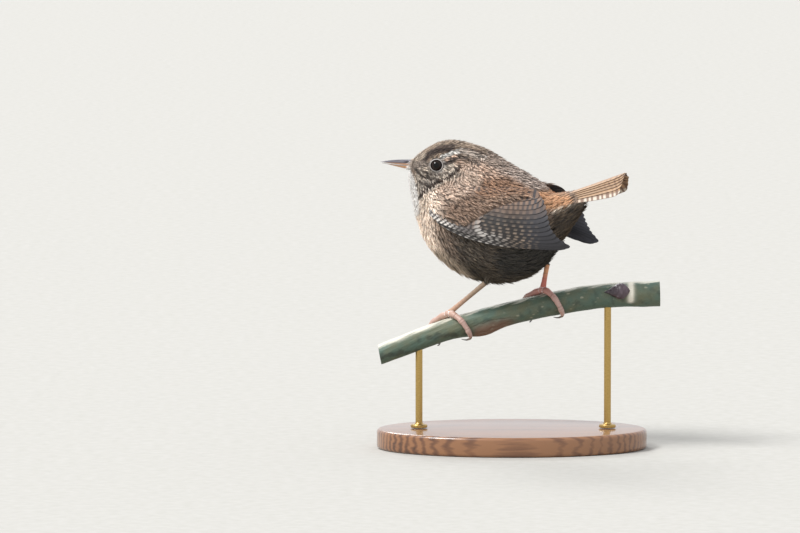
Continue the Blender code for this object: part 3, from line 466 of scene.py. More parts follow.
def featherMaterial(name, roughness, barbSpacing):
    # keratin barbs: matt, with a faint silky sheen at a low angle
    return paintedMaterial(
        name, roughness, barbSpacing, feather["grain"], feather["relief"], 2.0, 0.25,
        Sheen_Weight=feather["sheen"], Sheen_Roughness=0.5,
    )


coatMaterial = featherMaterial("softContourFeathers", 0.78, 0.5)
vaneMaterial = featherMaterial("flightFeatherVane", 0.62, 0.35)
skinMaterial = featherMaterial("downOverSkin", 0.9, 0.4)

# Tufts: a small contour feather is a central leaf and loose barbs beside it, each a flat spike.

tuftForms = {
    "body": {"barbs": 4, "barbWidth": 0.2, "leafWidth": 0.46, "rings": 2, "leafRings": 3, "spread": 0.5},
    "face": {"barbs": 2, "barbWidth": 0.3, "leafWidth": 0.5, "rings": 2, "leafRings": 2, "spread": 0.4},
}
bakePatch = 0.003
spineSteps = np.linspace(0, 1, 5)


def spike(reach, lean, width, rings, foot):  # flat, three-sided, from the shaft out to its tip
    def surface(angle, run):
        girth = width / 2 * (0.55 + 0.45 * np.sin(math.pi * np.minimum(run * 1.3, 1.0))) * (1 - run**2.2)
        x = lean * run**1.4 + girth * np.cos(angle)
        return np.stack([x, foot + (reach - foot) * run, 0.5 * girth * np.sin(angle)], -1)

    return rolledGrid(3, rings, surface)


def tuftTemplate(form):
    points, faces, barbs = [], [], []
    count = form["barbs"]
    shapes = [(1.0, 0.0, form["leafWidth"], form["leafRings"], 0.0)]
    for index in range(count):
        side = (index - (count - 1) / 2) / max((count - 1) / 2, 0.5)
        reach = 0.97 - 0.2 * abs(side) - 0.05 * (index % 2)
        shapes.append((reach, form["spread"] * side, form["barbWidth"], form["rings"], 0.02))
    for index, shape in enumerate(shapes):
        bm = spike(*shape)
        bmesh.ops.triangulate(bm, faces=bm.faces)
        base = sum(len(p) for p in points)
        bm.verts.ensure_lookup_table()
        points.append(np.array([v.co for v in bm.verts]))
        faces.append(np.array([[v.index for v in f.verts] for f in bm.faces]) + base)
        barbs.append(np.full(len(bm.verts), index))
        bm.free()
    return {"points": np.concatenate(points), "faces": np.concatenate(faces), "barb": np.concatenate(barbs)}


tuftTemplates = {name: tuftTemplate(form) for name, form in tuftForms.items()}


def spineWeights(along):  # how a template's points read the steps of a spine
    at = np.clip(along, 0, 1) * (len(spineSteps) - 1)
    index = np.minimum(at.astype(int), len(spineSteps) - 2)
    weights = np.zeros((len(along), len(spineSteps)))
    rows = np.arange(len(along))
    weights[rows, index] = 1 - (at - index)
    weights[rows, index + 1] = at - index
    return weights


def layTufts(surface, tufts):  # spine, side and outward direction of each tuft at each step
    _, alongA, alongB, out = surfaceFrame(surface, tufts["a"], tufts["b"])
    lie = unit(tufts["lie"] - out * dot(tufts["lie"], out)[:, None])
    side = np.cross(out, lie)
    lie = lie * np.cos(tufts["turn"])[:, None] + side * np.sin(tufts["turn"])[:, None]
    aa, bb, ab = dot(alongA, alongA), dot(alongB, alongB), dot(alongA, alongB)
    spread = np.maximum(aa * bb - ab * ab, 1e-6)
    toA = (bb * dot(alongA, lie) - ab * dot(alongB, lie)) / spread * tufts["length"]
    toB = (aa * dot(alongB, lie) - ab * dot(alongA, lie)) / spread * tufts["length"]
    a = tufts["a"][:, None] + toA[:, None] * spineSteps
    b = tufts["b"][:, None] + toB[:, None] * spineSteps
    here, _, _, outs = surfaceFrame(surface, a, b)
    rise = tufts["foot"][:, None] + (tufts["tip"] - tufts["foot"])[:, None] * spineSteps**0.8
    spine = here + outs * rise[..., None]
    ahead = unit(np.gradient(spine, axis=1))
    across = unit(np.cross(ahead, outs))
    return spine, across, np.cross(across, ahead), a, b


def stampTufts(surface, tufts, template, paint, unwrap):
    spine, across, up, a, b = layTufts(surface, tufts)
    shape = template["points"]
    weights = spineWeights(shape[:, 1])
    width = tufts["width"][:, None, None]
    points = np.einsum("ms,nsk->nmk", weights, spine)
    points += np.einsum("ms,nsk->nmk", weights, across) * width * shape[None, :, 0, None]
    points += np.einsum("ms,nsk->nmk", weights, up) * width * shape[None, :, 2, None]
    shown = 3  # the step of the spine that stays uncovered
    colours = paint(a[:, shown], b[:, shown], template)
    root = unwrap(tufts["a"], tufts["b"])
    local = (shape[:, :2] - np.array((0.0, 0.5))) * bakePatch * 0.9
    bake = np.clip(root[:, None, :] + local[None], 0.0, 1.0)
    return {"points": points, "faces": template["faces"], "colours": colours, "bake": bake}


evenSteps = (0.7548776662466927, 0.5698402909980532)  # they fill a square evenly, in any number


def scatter(surface, spanA, spanB, density, rows=(160, 240)):
    # even places over a surface, as many to a square millimetre as density says
    a = np.linspace(*spanA, rows[0] + 1)
    b = np.linspace(*spanB, rows[1] + 1)
    midA, midB = (a[1:] + a[:-1]) / 2, (b[1:] + b[:-1]) / 2
    gridB, gridA = np.meshgrid(midB, midA, indexing="ij")
    _, alongA, alongB, _ = surfaceFrame(surface, gridA, gridB)
    area = np.linalg.norm(np.cross(alongA, alongB), axis=-1) * (a[1] - a[0]) * (b[1] - b[0])
    weight = area * density(gridA, gridB)
    count = int(weight.sum())
    index = np.arange(count)
    first, second = [(0.5 + index * step) % 1 for step in evenSteps]
    rowSum = np.concatenate([[0], np.cumsum(weight.sum(1))])
    placeB = np.interp(first * rowSum[-1], rowSum, b)
    row = np.clip(np.searchsorted(b, placeB) - 1, 0, rows[1] - 1)
    placeA = np.zeros(count)
    for step in np.unique(row):
        chosen = row == step
        total = np.concatenate([[0], np.cumsum(weight[step])])
        placeA[chosen] = np.interp(second[chosen] * total[-1], total, a)
    return placeA, placeB


def tuftTones(count, template):
    tone = np.exp(rng.normal(0, coat["toneSpread"], count))
    barbs = np.exp(rng.normal(0, coat["barbSpread"], (count, template["barb"].max() + 1)))
    return tone[:, None] * barbs[:, template["barb"]]


def tuftColours(places, template):
    base, speck, bar = plumageAt(places)
    count = len(base)
    along = template["points"][:, 1]
    tones = tuftTones(count, template)
    draw = rng.random(count)
    light = np.where(draw > 1 - coat["lightShare"] * speck, coat["lightFeather"], 1.0)
    tones *= np.where(draw < speck, coat["darkFeather"], light)[:, None]
    dark, pale = coat["down"]
    rootShade = (dark + pale * fade(0.12, 0.5, base[:, 1]))[:, None]  # painted shade between the tufts over their grey down, both lighter under pale feathers
    tones *= coat["tone"] * (rootShade + (1 - rootShade) * fade(0.1, 0.75, along)[None])
    band = fade(0.5, 0.62, along) * (1 - fade(0.78, 0.9, along))
    barred = rng.random(count) < coat["barredShare"]
    tones *= 1 - bar[:, None] * coat["barDepth"] * band[None] * barred[:, None]
    tones *= 1 + coat["tipLight"] * fade(0.85, 1.0, along)[None]
    return base[:, None, :] * tones[..., None]


# Skin: one closed surface under the whole coat, with the thighs grown into it

skin = {
    "sides": 96,
    "rings": 170,
    "ahead": 0.024,  # how far it runs on into the bill's root
    "shade": 0.6,  # painted shade on the markings, since it only shows between feathers
    # how deep it lies under the coat's tips
    "depth": ((0.0, 0.35), (0.1, 0.5), (0.25, 0.8), (0.4, 1.1), (0.85, 1.1), (1.0, 0.7)),
}


def coatDepth(run):
    return atStops(skin["depth"], run)


legs = {
    "left": {"heel": (3.4, -8.0, -21.0), "footX": -20.9},
    "right": {"heel": (20.6, 8.0, -15.2), "footX": 12.1},
}
thigh = {
    "radius": 2.4, "length": 6.0, "toward": (8.0, -4.0),
    "shape": (0.42, 0.5, 0.7, 0.95, 1.0), "skinInset": 0.5, "coatInset": 0.15,
    "coatSpan": (0.02, 0.8),
    "density": 2.6,  # feathers to a square millimetre
}


def toBird(point):
    return turnZ(np.asarray(point, float) - body["centre"], -body["yaw"])


def perchCentre(x):
    z = atStops(perchPath, x)
    rise = atStops(perchPath, x + 1) - atStops(perchPath, x - 1)
    along = unit(np.stack([np.full_like(z, 2.0), np.zeros_like(z), rise], -1))
    centre = np.stack([x, np.zeros_like(z), z], -1)
    return centre, np.stack([-along[..., 2], np.zeros_like(z), along[..., 0]], -1)


perch = {
    "line": ((-47.0, 33.4), (-22.0, 42.5), (3.0, 48.9), (28.0, 53.8), (52.5, 55.2)),
    "radii": (3.6, 4.5),
    "swelling": 1.7,
    "swellingX": -11.0,
    "swellingLength": 6.2,
    "sides": 144,
    "rings": 520,
}
perchPath = smoothPath(perch["line"], 241)


def perchRadius(x, angle):
    start, end = perch["line"][0][0], perch["line"][-1][0]
    share = (x - start) / (end - start)
    swell = perch["swelling"] * np.exp(-(((x - perch["swellingX"]) / perch["swellingLength"]) ** 2))
    radius = perch["radii"][0] + (perch["radii"][1] - perch["radii"][0]) * share
    return radius + swell * np.maximum(-np.cos(angle), 0.0) ** 2


def perchPoint(x, angle, height=0.0):
    x, angle = np.asarray(x, float), np.asarray(angle, float)
    centre, up = perchCentre(x)
    out = up * np.cos(angle)[..., None] + np.array((0.0, 1.0, 0.0)) * np.sin(angle)[..., None]
    return centre + out * (perchRadius(x, angle) + height)[..., None]


foot = {
    "pad": 1.6,
    "flatness": 0.8,
    "gap": 0.3,
    "toeRadii": (1.1, 0.82),
    "tarsusRadius": 0.82,
    "clawRadius": 0.52,
    "clawArch": 0.55,
    "clawWrap": 42,  # degrees round the branch past the toe
    "ankle": 2.6,  # above the pad
    # how far each toe wraps the branch in degrees and reaches along it, and how far its claw turns back
    "toes": {
        "hind": (-138, 5.0, -3.4),
        "outer": (78, -8.0, -2.0),
        "middle": (128, -6.0, -1.0),
        "inner": (108, -1.5, 1.0),
    },
}


def legLine(side):  # the pad's centre, the heel and the thigh's points, in the world
    leg = legs[side]
    pad = perchPoint(leg["footX"], 0.0, foot["gap"] + foot["pad"] * foot["flatness"])
    heel = toWorld(np.array(leg["heel"]))
    up = unit(heel - pad)
    knee = heel + up * (foot["gap"] + thigh["length"] * 0.15)
    inner = toWorld(np.array((thigh["toward"][0], leg["heel"][1], thigh["toward"][1])))
    inward = unit(inner - heel)
    line = [heel + up * foot["gap"], knee] + [knee + inward * thigh["length"] * s for s in (0.3, 0.7, 1.0)]
    return pad, heel, up, np.array(line)


def tubeSurface(line, radii):  # surface(angle, run) of a round tube along a line
    ahead = unit(np.gradient(line, axis=0))
    side = unit(np.cross(ahead, np.array((0.0, 0.02, 1.0))))
    frames = np.hstack([line, side, np.cross(side, ahead)])
    radii = np.array(radii, float)

    def surface(angle, run):
        row = alongPath(frames, run)
        radius = np.interp(run, np.linspace(0, 1, len(radii)), radii)[..., None]
        turn = row[..., 3:6] * np.cos(angle)[..., None] + row[..., 6:9] * np.sin(angle)[..., None]
        return row[..., 0:3] + turn * radius

    return surface


def thighTube(side, inset):
    return tubeSurface(smoothPath(legLine(side)[3], 16), thigh["radius"] * np.array(thigh["shape"]) - inset)


def paintSkin(obj):  # the coat's markings on the skin, darkened as painted shade between the feathers, and its own unwrap
    paintMesh(obj, lambda world: plumageAt(photoPixels(nearSide(world)))[0] * skin["shade"])
    obj.data.uv_layers[0].name = "OFBake"


def makeSkin():
    def surface(angle, run):
        run = run * (1 + skin["ahead"]) - skin["ahead"]
        here, _, _, out = surfaceFrame(bodySurface, angle, run)
        return toWorld(here - out * coatDepth(run)[:, None])

    skinObj = objectFrom("skin", rolledGrid(skin["sides"], skin["rings"], surface), skinMaterial)
    for side in legs:
        thighObj = objectFrom("thigh", rolledGrid(16, 15, thighTube(side, thigh["skinInset"])), skinMaterial)
        join = skinObj.modifiers.new("join", "BOOLEAN")
        join.operation, join.solver, join.object = "UNION", "MANIFOLD", thighObj
        bpy.context.view_layer.update()
        joined = bpy.data.meshes.new_from_object(skinObj.evaluated_get(bpy.context.evaluated_depsgraph_get()))
        skinObj.modifiers.clear()
        skinObj.data = joined
        bpy.data.objects.remove(thighObj)
    paintSkin(skinObj)
    return skinObj


def nearSide(world):  # world points moved to the near side of the bird
    local = toBird(world)
    share = fade(body["neckFoot"], body["neckTop"], dot(local - body["neckPoint"], body["neckNormal"]))
    plain = body["neckPivot"] + turnZ(local - body["neckPivot"], -body["headTurn"] * share)
    return toWorld(headTurned(nearHalf(plain)))


skinPiece = makeSkin()
fleshNodes = ("head", "neck", "torso", "rump", "vent", "thigh_left", "thigh_right")
finishPiece(skinPiece, "plumage", *fleshNodes)
print("skin made:", len(skinPiece.data.polygons), "faces")


# Coat: lengths and widths of the contour feathers from the bill back, in millimetres

coat = {
    "length": (
        (0.0, 0.8), (0.07, 1.1), (0.14, 1.5), (0.25, 2.0), (0.33, 2.7), (0.45, 3.3), (0.6, 4.0), (0.8, 3.8),
        (1.0, 2.8),
    ),
    "width": (
        (0.0, 0.32), (0.07, 0.42), (0.14, 0.55), (0.25, 0.8), (0.33, 1.05), (0.45, 1.3), (0.6, 1.5),
        (0.8, 1.4), (1.0, 1.1),
    ),
    "cover": ((0.0, 4.5), (0.25, 4.5), (0.35, 5.0), (1.0, 5.0)),  # feathers lying over each place
    "lengthSpread": 0.12,
    "widthSpread": 0.1,
    "turn": math.radians(10),
    "loose": 0.16,
    "fluff": 0.55,  # how far the loosest feathers of the belly stand out
    "tone": 1.25,
    "toneSpread": 0.13,
    "barbSpread": 0.16,
    "darkFeather": 0.42,
    "lightFeather": 1.35,
    "lightShare": 0.6,  # light feathers for each dark one
    "down": (0.32, 0.45),  # tone of the roots, their grey down with painted shade between the tufts, and what pale places add to it
    "barDepth": 0.75,
    "barredShare": 0.7,
    "tipLight": 0.18,
    "eyeRoom": 2.55,  # bare radius round each eye
    "partFrom": 5.2, "partOver": 3.0, "parting": 1.6,  # how the lie parts round the eyes
    "fringeCount": 420,
}


def coatValue(name, run):
    return atStops(coat[name], run)


def eyePlaces():  # centre of each eye in the bird's plain head
    found = {}
    for side in legs:
        low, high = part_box("eye_" + side)
        centre = toBird((np.array(low) + np.array(high)) / 2 / mm)
        found[side] = body["neckPivot"] + turnZ(centre - body["neckPivot"], -body["headTurn"])
    return found


eyeCentres = eyePlaces()


def lieOf(angle, run):  # back along the body, parting round the eyes
    _, _, alongB, out = surfaceFrame(bodySurface, angle, run)
    lie = unit(alongB)
    plain = bodyPlain(angle, run)
    for centre in eyeCentres.values():
        away = plain - centre
        far = np.linalg.norm(away, axis=-1)
        push = np.clip((coat["partFrom"] - far) / coat["partOver"], 0, 1) ** 1.5 * coat["parting"]
        lie = lie + turnZ(unit(away), body["headTurn"]) * push[:, None]
    return unit(lie - out * dot(lie, out)[:, None])


def eyeRoom(angle, run):  # 1 where the coat grows, 0 over the eyes
    plain = bodyPlain(angle, run)
    room = np.ones(angle.shape)
    for centre in eyeCentres.values():
        room *= np.linalg.norm(plain - centre, axis=-1) > coat["eyeRoom"]
    return room


bareUnderWing = {
    # where the coat fades out in x and in height, the heights sloping down to the tail
    "front": (-8, -5), "back": (17, 20), "low": (1.5, 3.0), "top": (6.5, 9.0),
    "lowSlope": 0.55, "topSlope": 0.12,
}


def underWing(angle, run):  # 1 where a folded wing hides the body
    plain = bodyPlain(angle, run)
    x, z = plain[..., 0], plain[..., 2]
    low = z + bareUnderWing["lowSlope"] * np.clip(x + 4, None, 12)
    high = z + bareUnderWing["topSlope"] * (x + 5)
    hidden = fade(*bareUnderWing["front"], x) * (1 - fade(*bareUnderWing["back"], x))
    return hidden * fade(*bareUnderWing["low"], low) * (1 - fade(*bareUnderWing["top"], high))


coatRegions = {
    # from and to along the body, from and to round it in shares of half a turn, and its template
    "coat_crown": (0.0, 0.3, 0.0, 0.42, "face"),
    "coat_face": (0.0, 0.3, 0.42, 1.0, "face"),
    "coat_mantle": (0.3, 0.72, 0.0, 0.36, "body"),
    "coat_breast": (0.3, 0.47, 0.36, 1.0, "body"),
    "coat_flank": (0.47, 0.72, 0.36, 1.0, "body"),
    "coat_rump": (0.72, 0.995, 0.0, 0.4, "body"),
    "coat_vent": (0.72, 0.995, 0.4, 1.0, "body"),
}


def bodyUnwrap(angle, run):
    return np.stack([angle % math.tau / math.tau, run], -1)


def bodyPaint(angle, run, template):
    return tuftColours(photoPlace(bodyPlain(angle, np.minimum(run, 1.0))), template)


def coatTufts(angle, run, lie):
    count = len(angle)
    size = np.exp(rng.normal(0, coat["lengthSpread"], count))
    depth = coatDepth(run)
    soft = fade(0.36, 0.55, run) * fade(0.1, 0.8, -np.cos(angle))
    return {
        "a": angle, "b": run, "lie": lie,
        "length": coatValue("length", run) * size,
        "width": coatValue("width", run) * np.exp(rng.normal(0, coat["widthSpread"], count)),
        "turn": rng.normal(0, coat["turn"], count),
        "foot": -depth,
        "tip": coat["loose"] * rng.normal(0.2, 1.0, count) * np.minimum(depth, 1.0)
        + coat["fluff"] * soft * rng.random(count) ** 3,
    }


def makeCoat(name, start, end, inner, outer, form):
    parts = []
    for sign in (1, -1):
        def density(angle, run):
            cover = coatValue("cover", run) / (coatValue("length", run) * coatValue("width", run))
            return cover * eyeRoom(angle, run) * (1 - underWing(angle, run))

        span = (sign * inner * math.pi, sign * outer * math.pi)
        angle, run = scatter(bodySurface, (min(span), max(span)), (start, end), density)
        tufts = coatTufts(angle, run, lieOf(angle, run))
        parts.append(stampTufts(bodySurface, tufts, tuftTemplates[form], bodyPaint, bodyUnwrap))
    for part in parts:
        part["points"] = toWorld(part["points"])
    finishPiece(meshFromArrays(name, parts, coatMaterial), "plumage")


def looseTufts(surface, a, b, lengths, widths, highest):  # short feathers that point back along b
    _, _, alongB, _ = surfaceFrame(surface, a, b)
    count = len(a)
    return {
        "a": a, "b": b, "lie": -alongB,
        "length": rng.uniform(*lengths, count),
        "width": rng.uniform(*widths, count),
        "turn": rng.normal(0, 0.2, count),
        "foot": np.full(count, -0.3),
        "tip": rng.uniform(0.0, highest, count),
    }


def makeFringe():  # feathers that point forward over the root of the bill
    count = coat["fringeCount"]
    angle = np.linspace(0, math.tau, count, endpoint=False) + rng.normal(0, 0.02, count)
    run = rng.uniform(-0.004, 0.02, count)
    tufts = looseTufts(bodySurface, angle, run, (0.9, 1.5), (0.25, 0.4), 0.22)
    part = stampTufts(bodySurface, tufts, tuftTemplates["face"], bodyPaint, bodyUnwrap)
    part["points"] = toWorld(part["points"])
    finishPiece(meshFromArrays("coat_bill_fringe", [part], coatMaterial), "plumage")


for name, region in coatRegions.items():
    makeCoat(name, *region)
makeFringe()
print("coat grown")


# Wings: long barred feathers in tiers over a lens of flesh, in the bird's side view

wing = {
    "bed": ((-16.4, 5.2), (-10.4, 1.0), (5.2, -3.0), (17.0, -3.0), (19.0, 4.0), (16.0, 11.5), (-6.0, 11.5)),
    "standOff": 1.0,
    "widestX": 15.0, "halfWidth": 17.2, "growth": 0.5, "narrowing": 0.115,
    "halfHeight": 21.0, "lowering": 0.38,
    "thickness": 0.14,
    "tilt": 0.75,  # each vane's upper edge lies under the next, this far below the lower one
    "arch": 0.12,
    "shaft": (-0.15, 0.12, 0.05),  # place across the vane, width and height
    "step": 0.05,
    "flightCount": 16, "covertCount": 10, "covertLift": 0.5,
    "bedCentre": (2.5, 4.5), "bedOut": 0.35, "bedIn": 2.2,
    "profile": (
        (0, 0.4), (0.1, 0.62), (0.3, 0.88), (0.55, 1.0), (0.8, 0.97), (0.9, 0.86), (0.96, 0.62), (0.99, 0.34),
        (1, 0.1),
    ),
    "rows": 100,
    "columns": 10,
    # the right wing is folded higher: its lower feathers are lifted in their middle
    "lift": {"left": 0.0, "right": 3.4},
    "liftFade": (6.5, -3.5),
    "liftSpan": (-12.0, 38.0),
    # the lower border of the soft shoulder feathers, and how deep the vanes sink under them
    "softLine": (
        (-16.0, 6.2), (-12.0, 4.6), (-7.7, 2.2), (-2.9, 0.6), (0.6, -0.4), (3.0, 1.0), (6.5, 3.4),
        (11.2, 6.4), (18.0, 8.6), (24.0, 9.6),
    ),
    "softDepth": 1.35,
}
# rows of feathers from the upper edge down: root x and z, height of the middle, tip x and z, width
flightRows = (
    (2.2, 10.8, 11.4, 25.9, 11.2, 5.2),
    (-1.0, 9.2, 7.9, 29.0, 7.5, 5.0),
    (-5.0, 7.2, 4.3, 30.8, 3.5, 4.6),
    (-8.4, 5.0, 1.1, 32.2, -0.4, 4.0),
    (-10.6, 3.2, -1.6, 34.8, -3.8, 3.4),
    (-11.8, 1.8, -3.4, 37.8, -6.4, 3.0),
    (-12.3, 1.2, -4.4, 28.0, -6.3, 2.4),
)
greaterRows = (
    (-5.6, 11.6, 11.6, 10.8, 11.0, 4.8), (-11.8, 9.2, 7.2, 8.2, 5.6, 4.6),
    (-14.8, 5.8, 2.6, 6.6, 0.4, 3.8), (-15.0, 3.6, 0.2, 8.7, -2.8, 2.6),
)


def wingSheet():  # half widths of the wing's sheet on a grid of x and z
    bm = rolledGrid(48, 84, bodyPlain)
    tree = BVHTree.FromBMesh(bm)
    bm.free()
    xs, zs = np.arange(-24, 46, 0.5), np.arange(-16, 20, 0.5)
    table = np.zeros((len(xs), len(zs)))
    for i, x in enumerate(xs):
        for j, z in enumerate(zs):
            hit = tree.ray_cast(Vector((x, -60, z)), Vector((0, 1, 0)))[0]
            outer = (-hit.y if hit else 0.0) + wing["standOff"]
            behind, ahead = max(x - wing["widestX"], 0.0), max(wing["widestX"] - x, 0.0)
            width = wing["halfWidth"] - wing["narrowing"] * behind - wing["growth"] * ahead
            height = wing["halfHeight"] - wing["lowering"] * behind
            guide = width * math.sqrt(max(1 - (z / height) ** 2, 0.05))
            table[i, j] = 0.5 * (outer + guide + math.sqrt((outer - guide) ** 2 + 1))
    return xs, zs, table


sheetX, sheetZ, sheetTable = wingSheet()


def sheetHalf(x, z):
    i = np.clip((x - sheetX[0]) / 0.5, 0, len(sheetX) - 1.001)
    j = np.clip((z - sheetZ[0]) / 0.5, 0, len(sheetZ) - 1.001)
    i0, j0 = i.astype(int), j.astype(int)
    u, v = i - i0, j - j0
    low = sheetTable[i0, j0] * (1 - u) + sheetTable[i0 + 1, j0] * u
    high = sheetTable[i0, j0 + 1] * (1 - u) + sheetTable[i0 + 1, j0 + 1] * u
    return low * (1 - v) + high * v


def wingPoint(x, z, height):
    step = 0.5
    half = sheetHalf(x, z)
    slopeX = (sheetHalf(x + step, z) - sheetHalf(x - step, z)) / (2 * step)
    slopeZ = (sheetHalf(x, z + step) - sheetHalf(x, z - step)) / (2 * step)
    out = unit(np.stack([-slopeX, -np.ones_like(half), -slopeZ], -1))
    return np.stack([x, -half, z], -1) + out * np.asarray(height)[..., None]


def wingSurface(z, x):
    return wingPoint(x, z, np.zeros_like(x))


def vaneTemplate(rows, columns):  # a thin closed sheet, x across from -1 to 1, y along from 0 to 1
    bm = bmesh.new()
    bmesh.ops.create_grid(bm, x_segments=columns, y_segments=rows, size=1)
    bmesh.ops.triangulate(bm, faces=bm.faces, quad_method="FIXED")
    for vert in bm.verts:
        run = (vert.co.y + 1) / 2
        across = math.copysign(1 - (1 - abs(vert.co.x)) ** 1.5, vert.co.x)
        vert.co = Vector((across, 1 - (1 - run) ** 1.3, 0))  # closer together near the edges and tip
    top = list(bm.verts)
    bmesh.ops.extrude_face_region(bm, geom=bm.faces[:], use_keep_orig=True)
    for vert in bm.verts:
        vert.co.z = -1.0
    for vert in top:
        vert.co.z = 0.0
    bmesh.ops.triangulate(bm, faces=bm.faces)
    bmesh.ops.recalc_face_normals(bm, faces=bm.faces)
    if bm.calc_volume(signed=True) < 0:
        bmesh.ops.reverse_faces(bm, faces=bm.faces)
    bm.verts.ensure_lookup_table()
    faces = [[v.index for v in f.verts] for f in bm.faces]
    shape = {"points": np.array([v.co for v in bm.verts]), "faces": np.array(faces)}
    bm.free()
    return shape


vaneShape = vaneTemplate(wing["rows"], wing["columns"])


def lifted(x, z, lift):
    start, end = wing["liftSpan"]
    top, low = wing["liftFade"]
    run = np.clip((x - start) / (end - start), 0, 1)
    return z + lift * np.sin(math.pi * run) ** 2 * fade(0, 1, (top - z) / (top - low))


def underShoulder(x, z):  # 1 where the soft shoulder feathers lie over the wing
    return fade(-0.6, 1.0, z - atStops(wing["softLine"], x))


def stampVanes(rows, count, sheet, paint, side):
    rows = smoothPath(rows, count)[::-1]
    across, run, under = vaneShape["points"].T
    wide = atStops(wing["profile"], run)
    at, thick, high = wing["shaft"]
    points, colours, bake = [], [], []
    for index, (rootX, rootZ, middleZ, tipX, tipZ, width) in enumerate(rows):
        root, tip = np.array((rootX, rootZ)), np.array((tipX, tipZ))
        along = unit(tip - root)
        aside = np.array((-along[1], along[0]))
        bow = middleZ - (rootZ + tipZ) / 2
        place = root + (tip - root) * run[:, None] + aside * (across * wide * width / 2)[:, None]
        place[:, 1] += bow * 4 * run * (1 - run)
        place[:, 1] = lifted(place[:, 0], place[:, 1], wing["lift"][side])
        lift = wing["tilt"] * (0.5 - across * wide / 2) * np.minimum(1.0, run * 3)
        lift += wing["arch"] * (1 - (across * wide) ** 2) + high * np.exp(-((across - at) / thick) ** 2)
        lift += sheet + wing["step"] * index - 0.5 * np.maximum(1 - run * 6, 0)
        lift -= wing["softDepth"] * underShoulder(place[:, 0], place[:, 1])
        points.append(wingPoint(place[:, 0], place[:, 1], lift + under * wing["thickness"]))
        length = float(np.linalg.norm(tip - root))
        share = 1 - index / max(len(rows) - 1, 1)  # 1 at the lower edge
        colours.append(paint(run, across, place[:, 0], run * length, share, under))
        cell = np.array((index % 5, index // 5)) / 5
        bake.append(cell + 0.01 + np.stack([(across + 1) / 2, run], -1) * 0.18)
    return vanePart(points, colours, bake)


def vanePart(points, colours, bake):
    return {
        "points": np.array(points), "faces": vaneShape["faces"], "colours": np.array(colours),
        "bake": np.array(bake),
    }


wingColours = palette(
    dark="#211c1a", brown="#41332c", warm="#7a5f4c", buff="#a8937f", white="#d9d2ca", slate="#29282d",
    far="#414249", grey="#5c5452",
)


def underside(colour, across, under):  # the hidden faces are plain and greyer, darker by the edge
    plain = wingColours["far"] * (1 - 0.6 * fade(0.55, 1.0, np.abs(across)))[:, None]
    return blend(colour, plain, 0.9 * (under < 0))


def flightPaint(run, across, x, along, share, under):
    # share is 1 at the lower edge of the wing; only the strip by the lower edge of each vane shows
    inner = 1 - fade(0.08, 0.34, share)
    field = blend(wingColours["dark"], wingColours["brown"], inner)
    field = blend(field, wingColours["slate"], fade(18.0, 27.0, x))
    period = 2.5 - 0.6 * inner + rng.uniform(-0.35, 0.35)
    wave = 0.5 + 0.5 * np.cos(math.tau * (along / period + rng.uniform() + 0.12 * across))
    strip = fade(-1.0, -0.95, across) * (1 - fade(-0.82, -0.62, across))
    dash = fade(0.4, 0.75, wave) * strip * (1 - fade(22.0, 29.0, x)) * rng.uniform(0.6, 1.0)
    dash = dash * (0.75 + 0.25 * np.sin(along * rng.uniform(0.8, 1.6) + rng.uniform(0, math.tau)))
    bright = fade(0.5, 0.68, share) * (1 - fade(11.0, 20.0, x))
    pale = blend(wingColours["buff"], wingColours["white"], bright)
    colour = blend(field, pale, dash * (0.35 + 0.4 * fade(0.25, 0.6, share)))
    # the innermost vanes are warm brown with narrow dark bars
    bars = fade(0.35, 0.75, 1 - wave) * inner
    colour = blend(colour, wingColours["warm"], 0.75 * inner * (1 - bars) * fade(-1.0, -0.85, across))
    shaft = np.exp(-(((across + 0.15) / 0.08) ** 2))
    colour = colour * (1 - 0.4 * shaft)[:, None] * float(np.exp(rng.normal(0, 0.06)))
    return underside(colour, across, under)


def covertPaint(run, across, x, along, share, under):
    grey = fade(0.3, 0.8, share)
    colour = blend(wingColours["warm"], wingColours["grey"] * 0.6, grey)
    wave = 0.5 + 0.5 * np.cos(math.tau * (along / 1.9 + rng.uniform() + 0.2 * across))
    colour = blend(colour, wingColours["dark"], 0.8 * fade(0.4, 0.75, wave))
    wrist = 1 - fade(-7.0, -1.0, x)  # pale bars show at the bend of the wing only
    edge = (1 - fade(-0.8, -0.45, across)) * (1 - fade(0.4, 0.7, wave))
    colour = blend(colour, wingColours["white"], edge * grey * (0.08 + 0.82 * wrist))
    spot = fade(0.88, 0.93, run) * (1 - fade(0.3, 0.6, np.abs(across + 0.4)))
    colour = blend(colour, wingColours["white"], 0.45 * spot * (0.1 + 0.9 * grey))
    return underside(colour * float(np.exp(rng.normal(0, 0.08))), across, under)


def mirrored(part):
    return {**part, "points": part["points"] * np.array((1, -1, 1)), "faces": part["faces"][:, ::-1]}


def makeWing(side):
    tiers = [
        stampVanes(flightRows, wing["flightCount"], 0.0, flightPaint, side),
        stampVanes(greaterRows, wing["covertCount"], wing["covertLift"], covertPaint, side),
    ]
    if side == "right":
        tiers = [mirrored(part) for part in tiers]
    for index, part in enumerate(tiers):
        part["bake"] = part["bake"] * 0.5 + np.array((0.5 * index, 0.0))
        part["points"] = toWorld(part["points"])
    piece = meshFromArrays("wing_feathers_" + side, tiers, vaneMaterial, 50)
    finishPiece(piece, "wing_feathers", "wing_" + side)


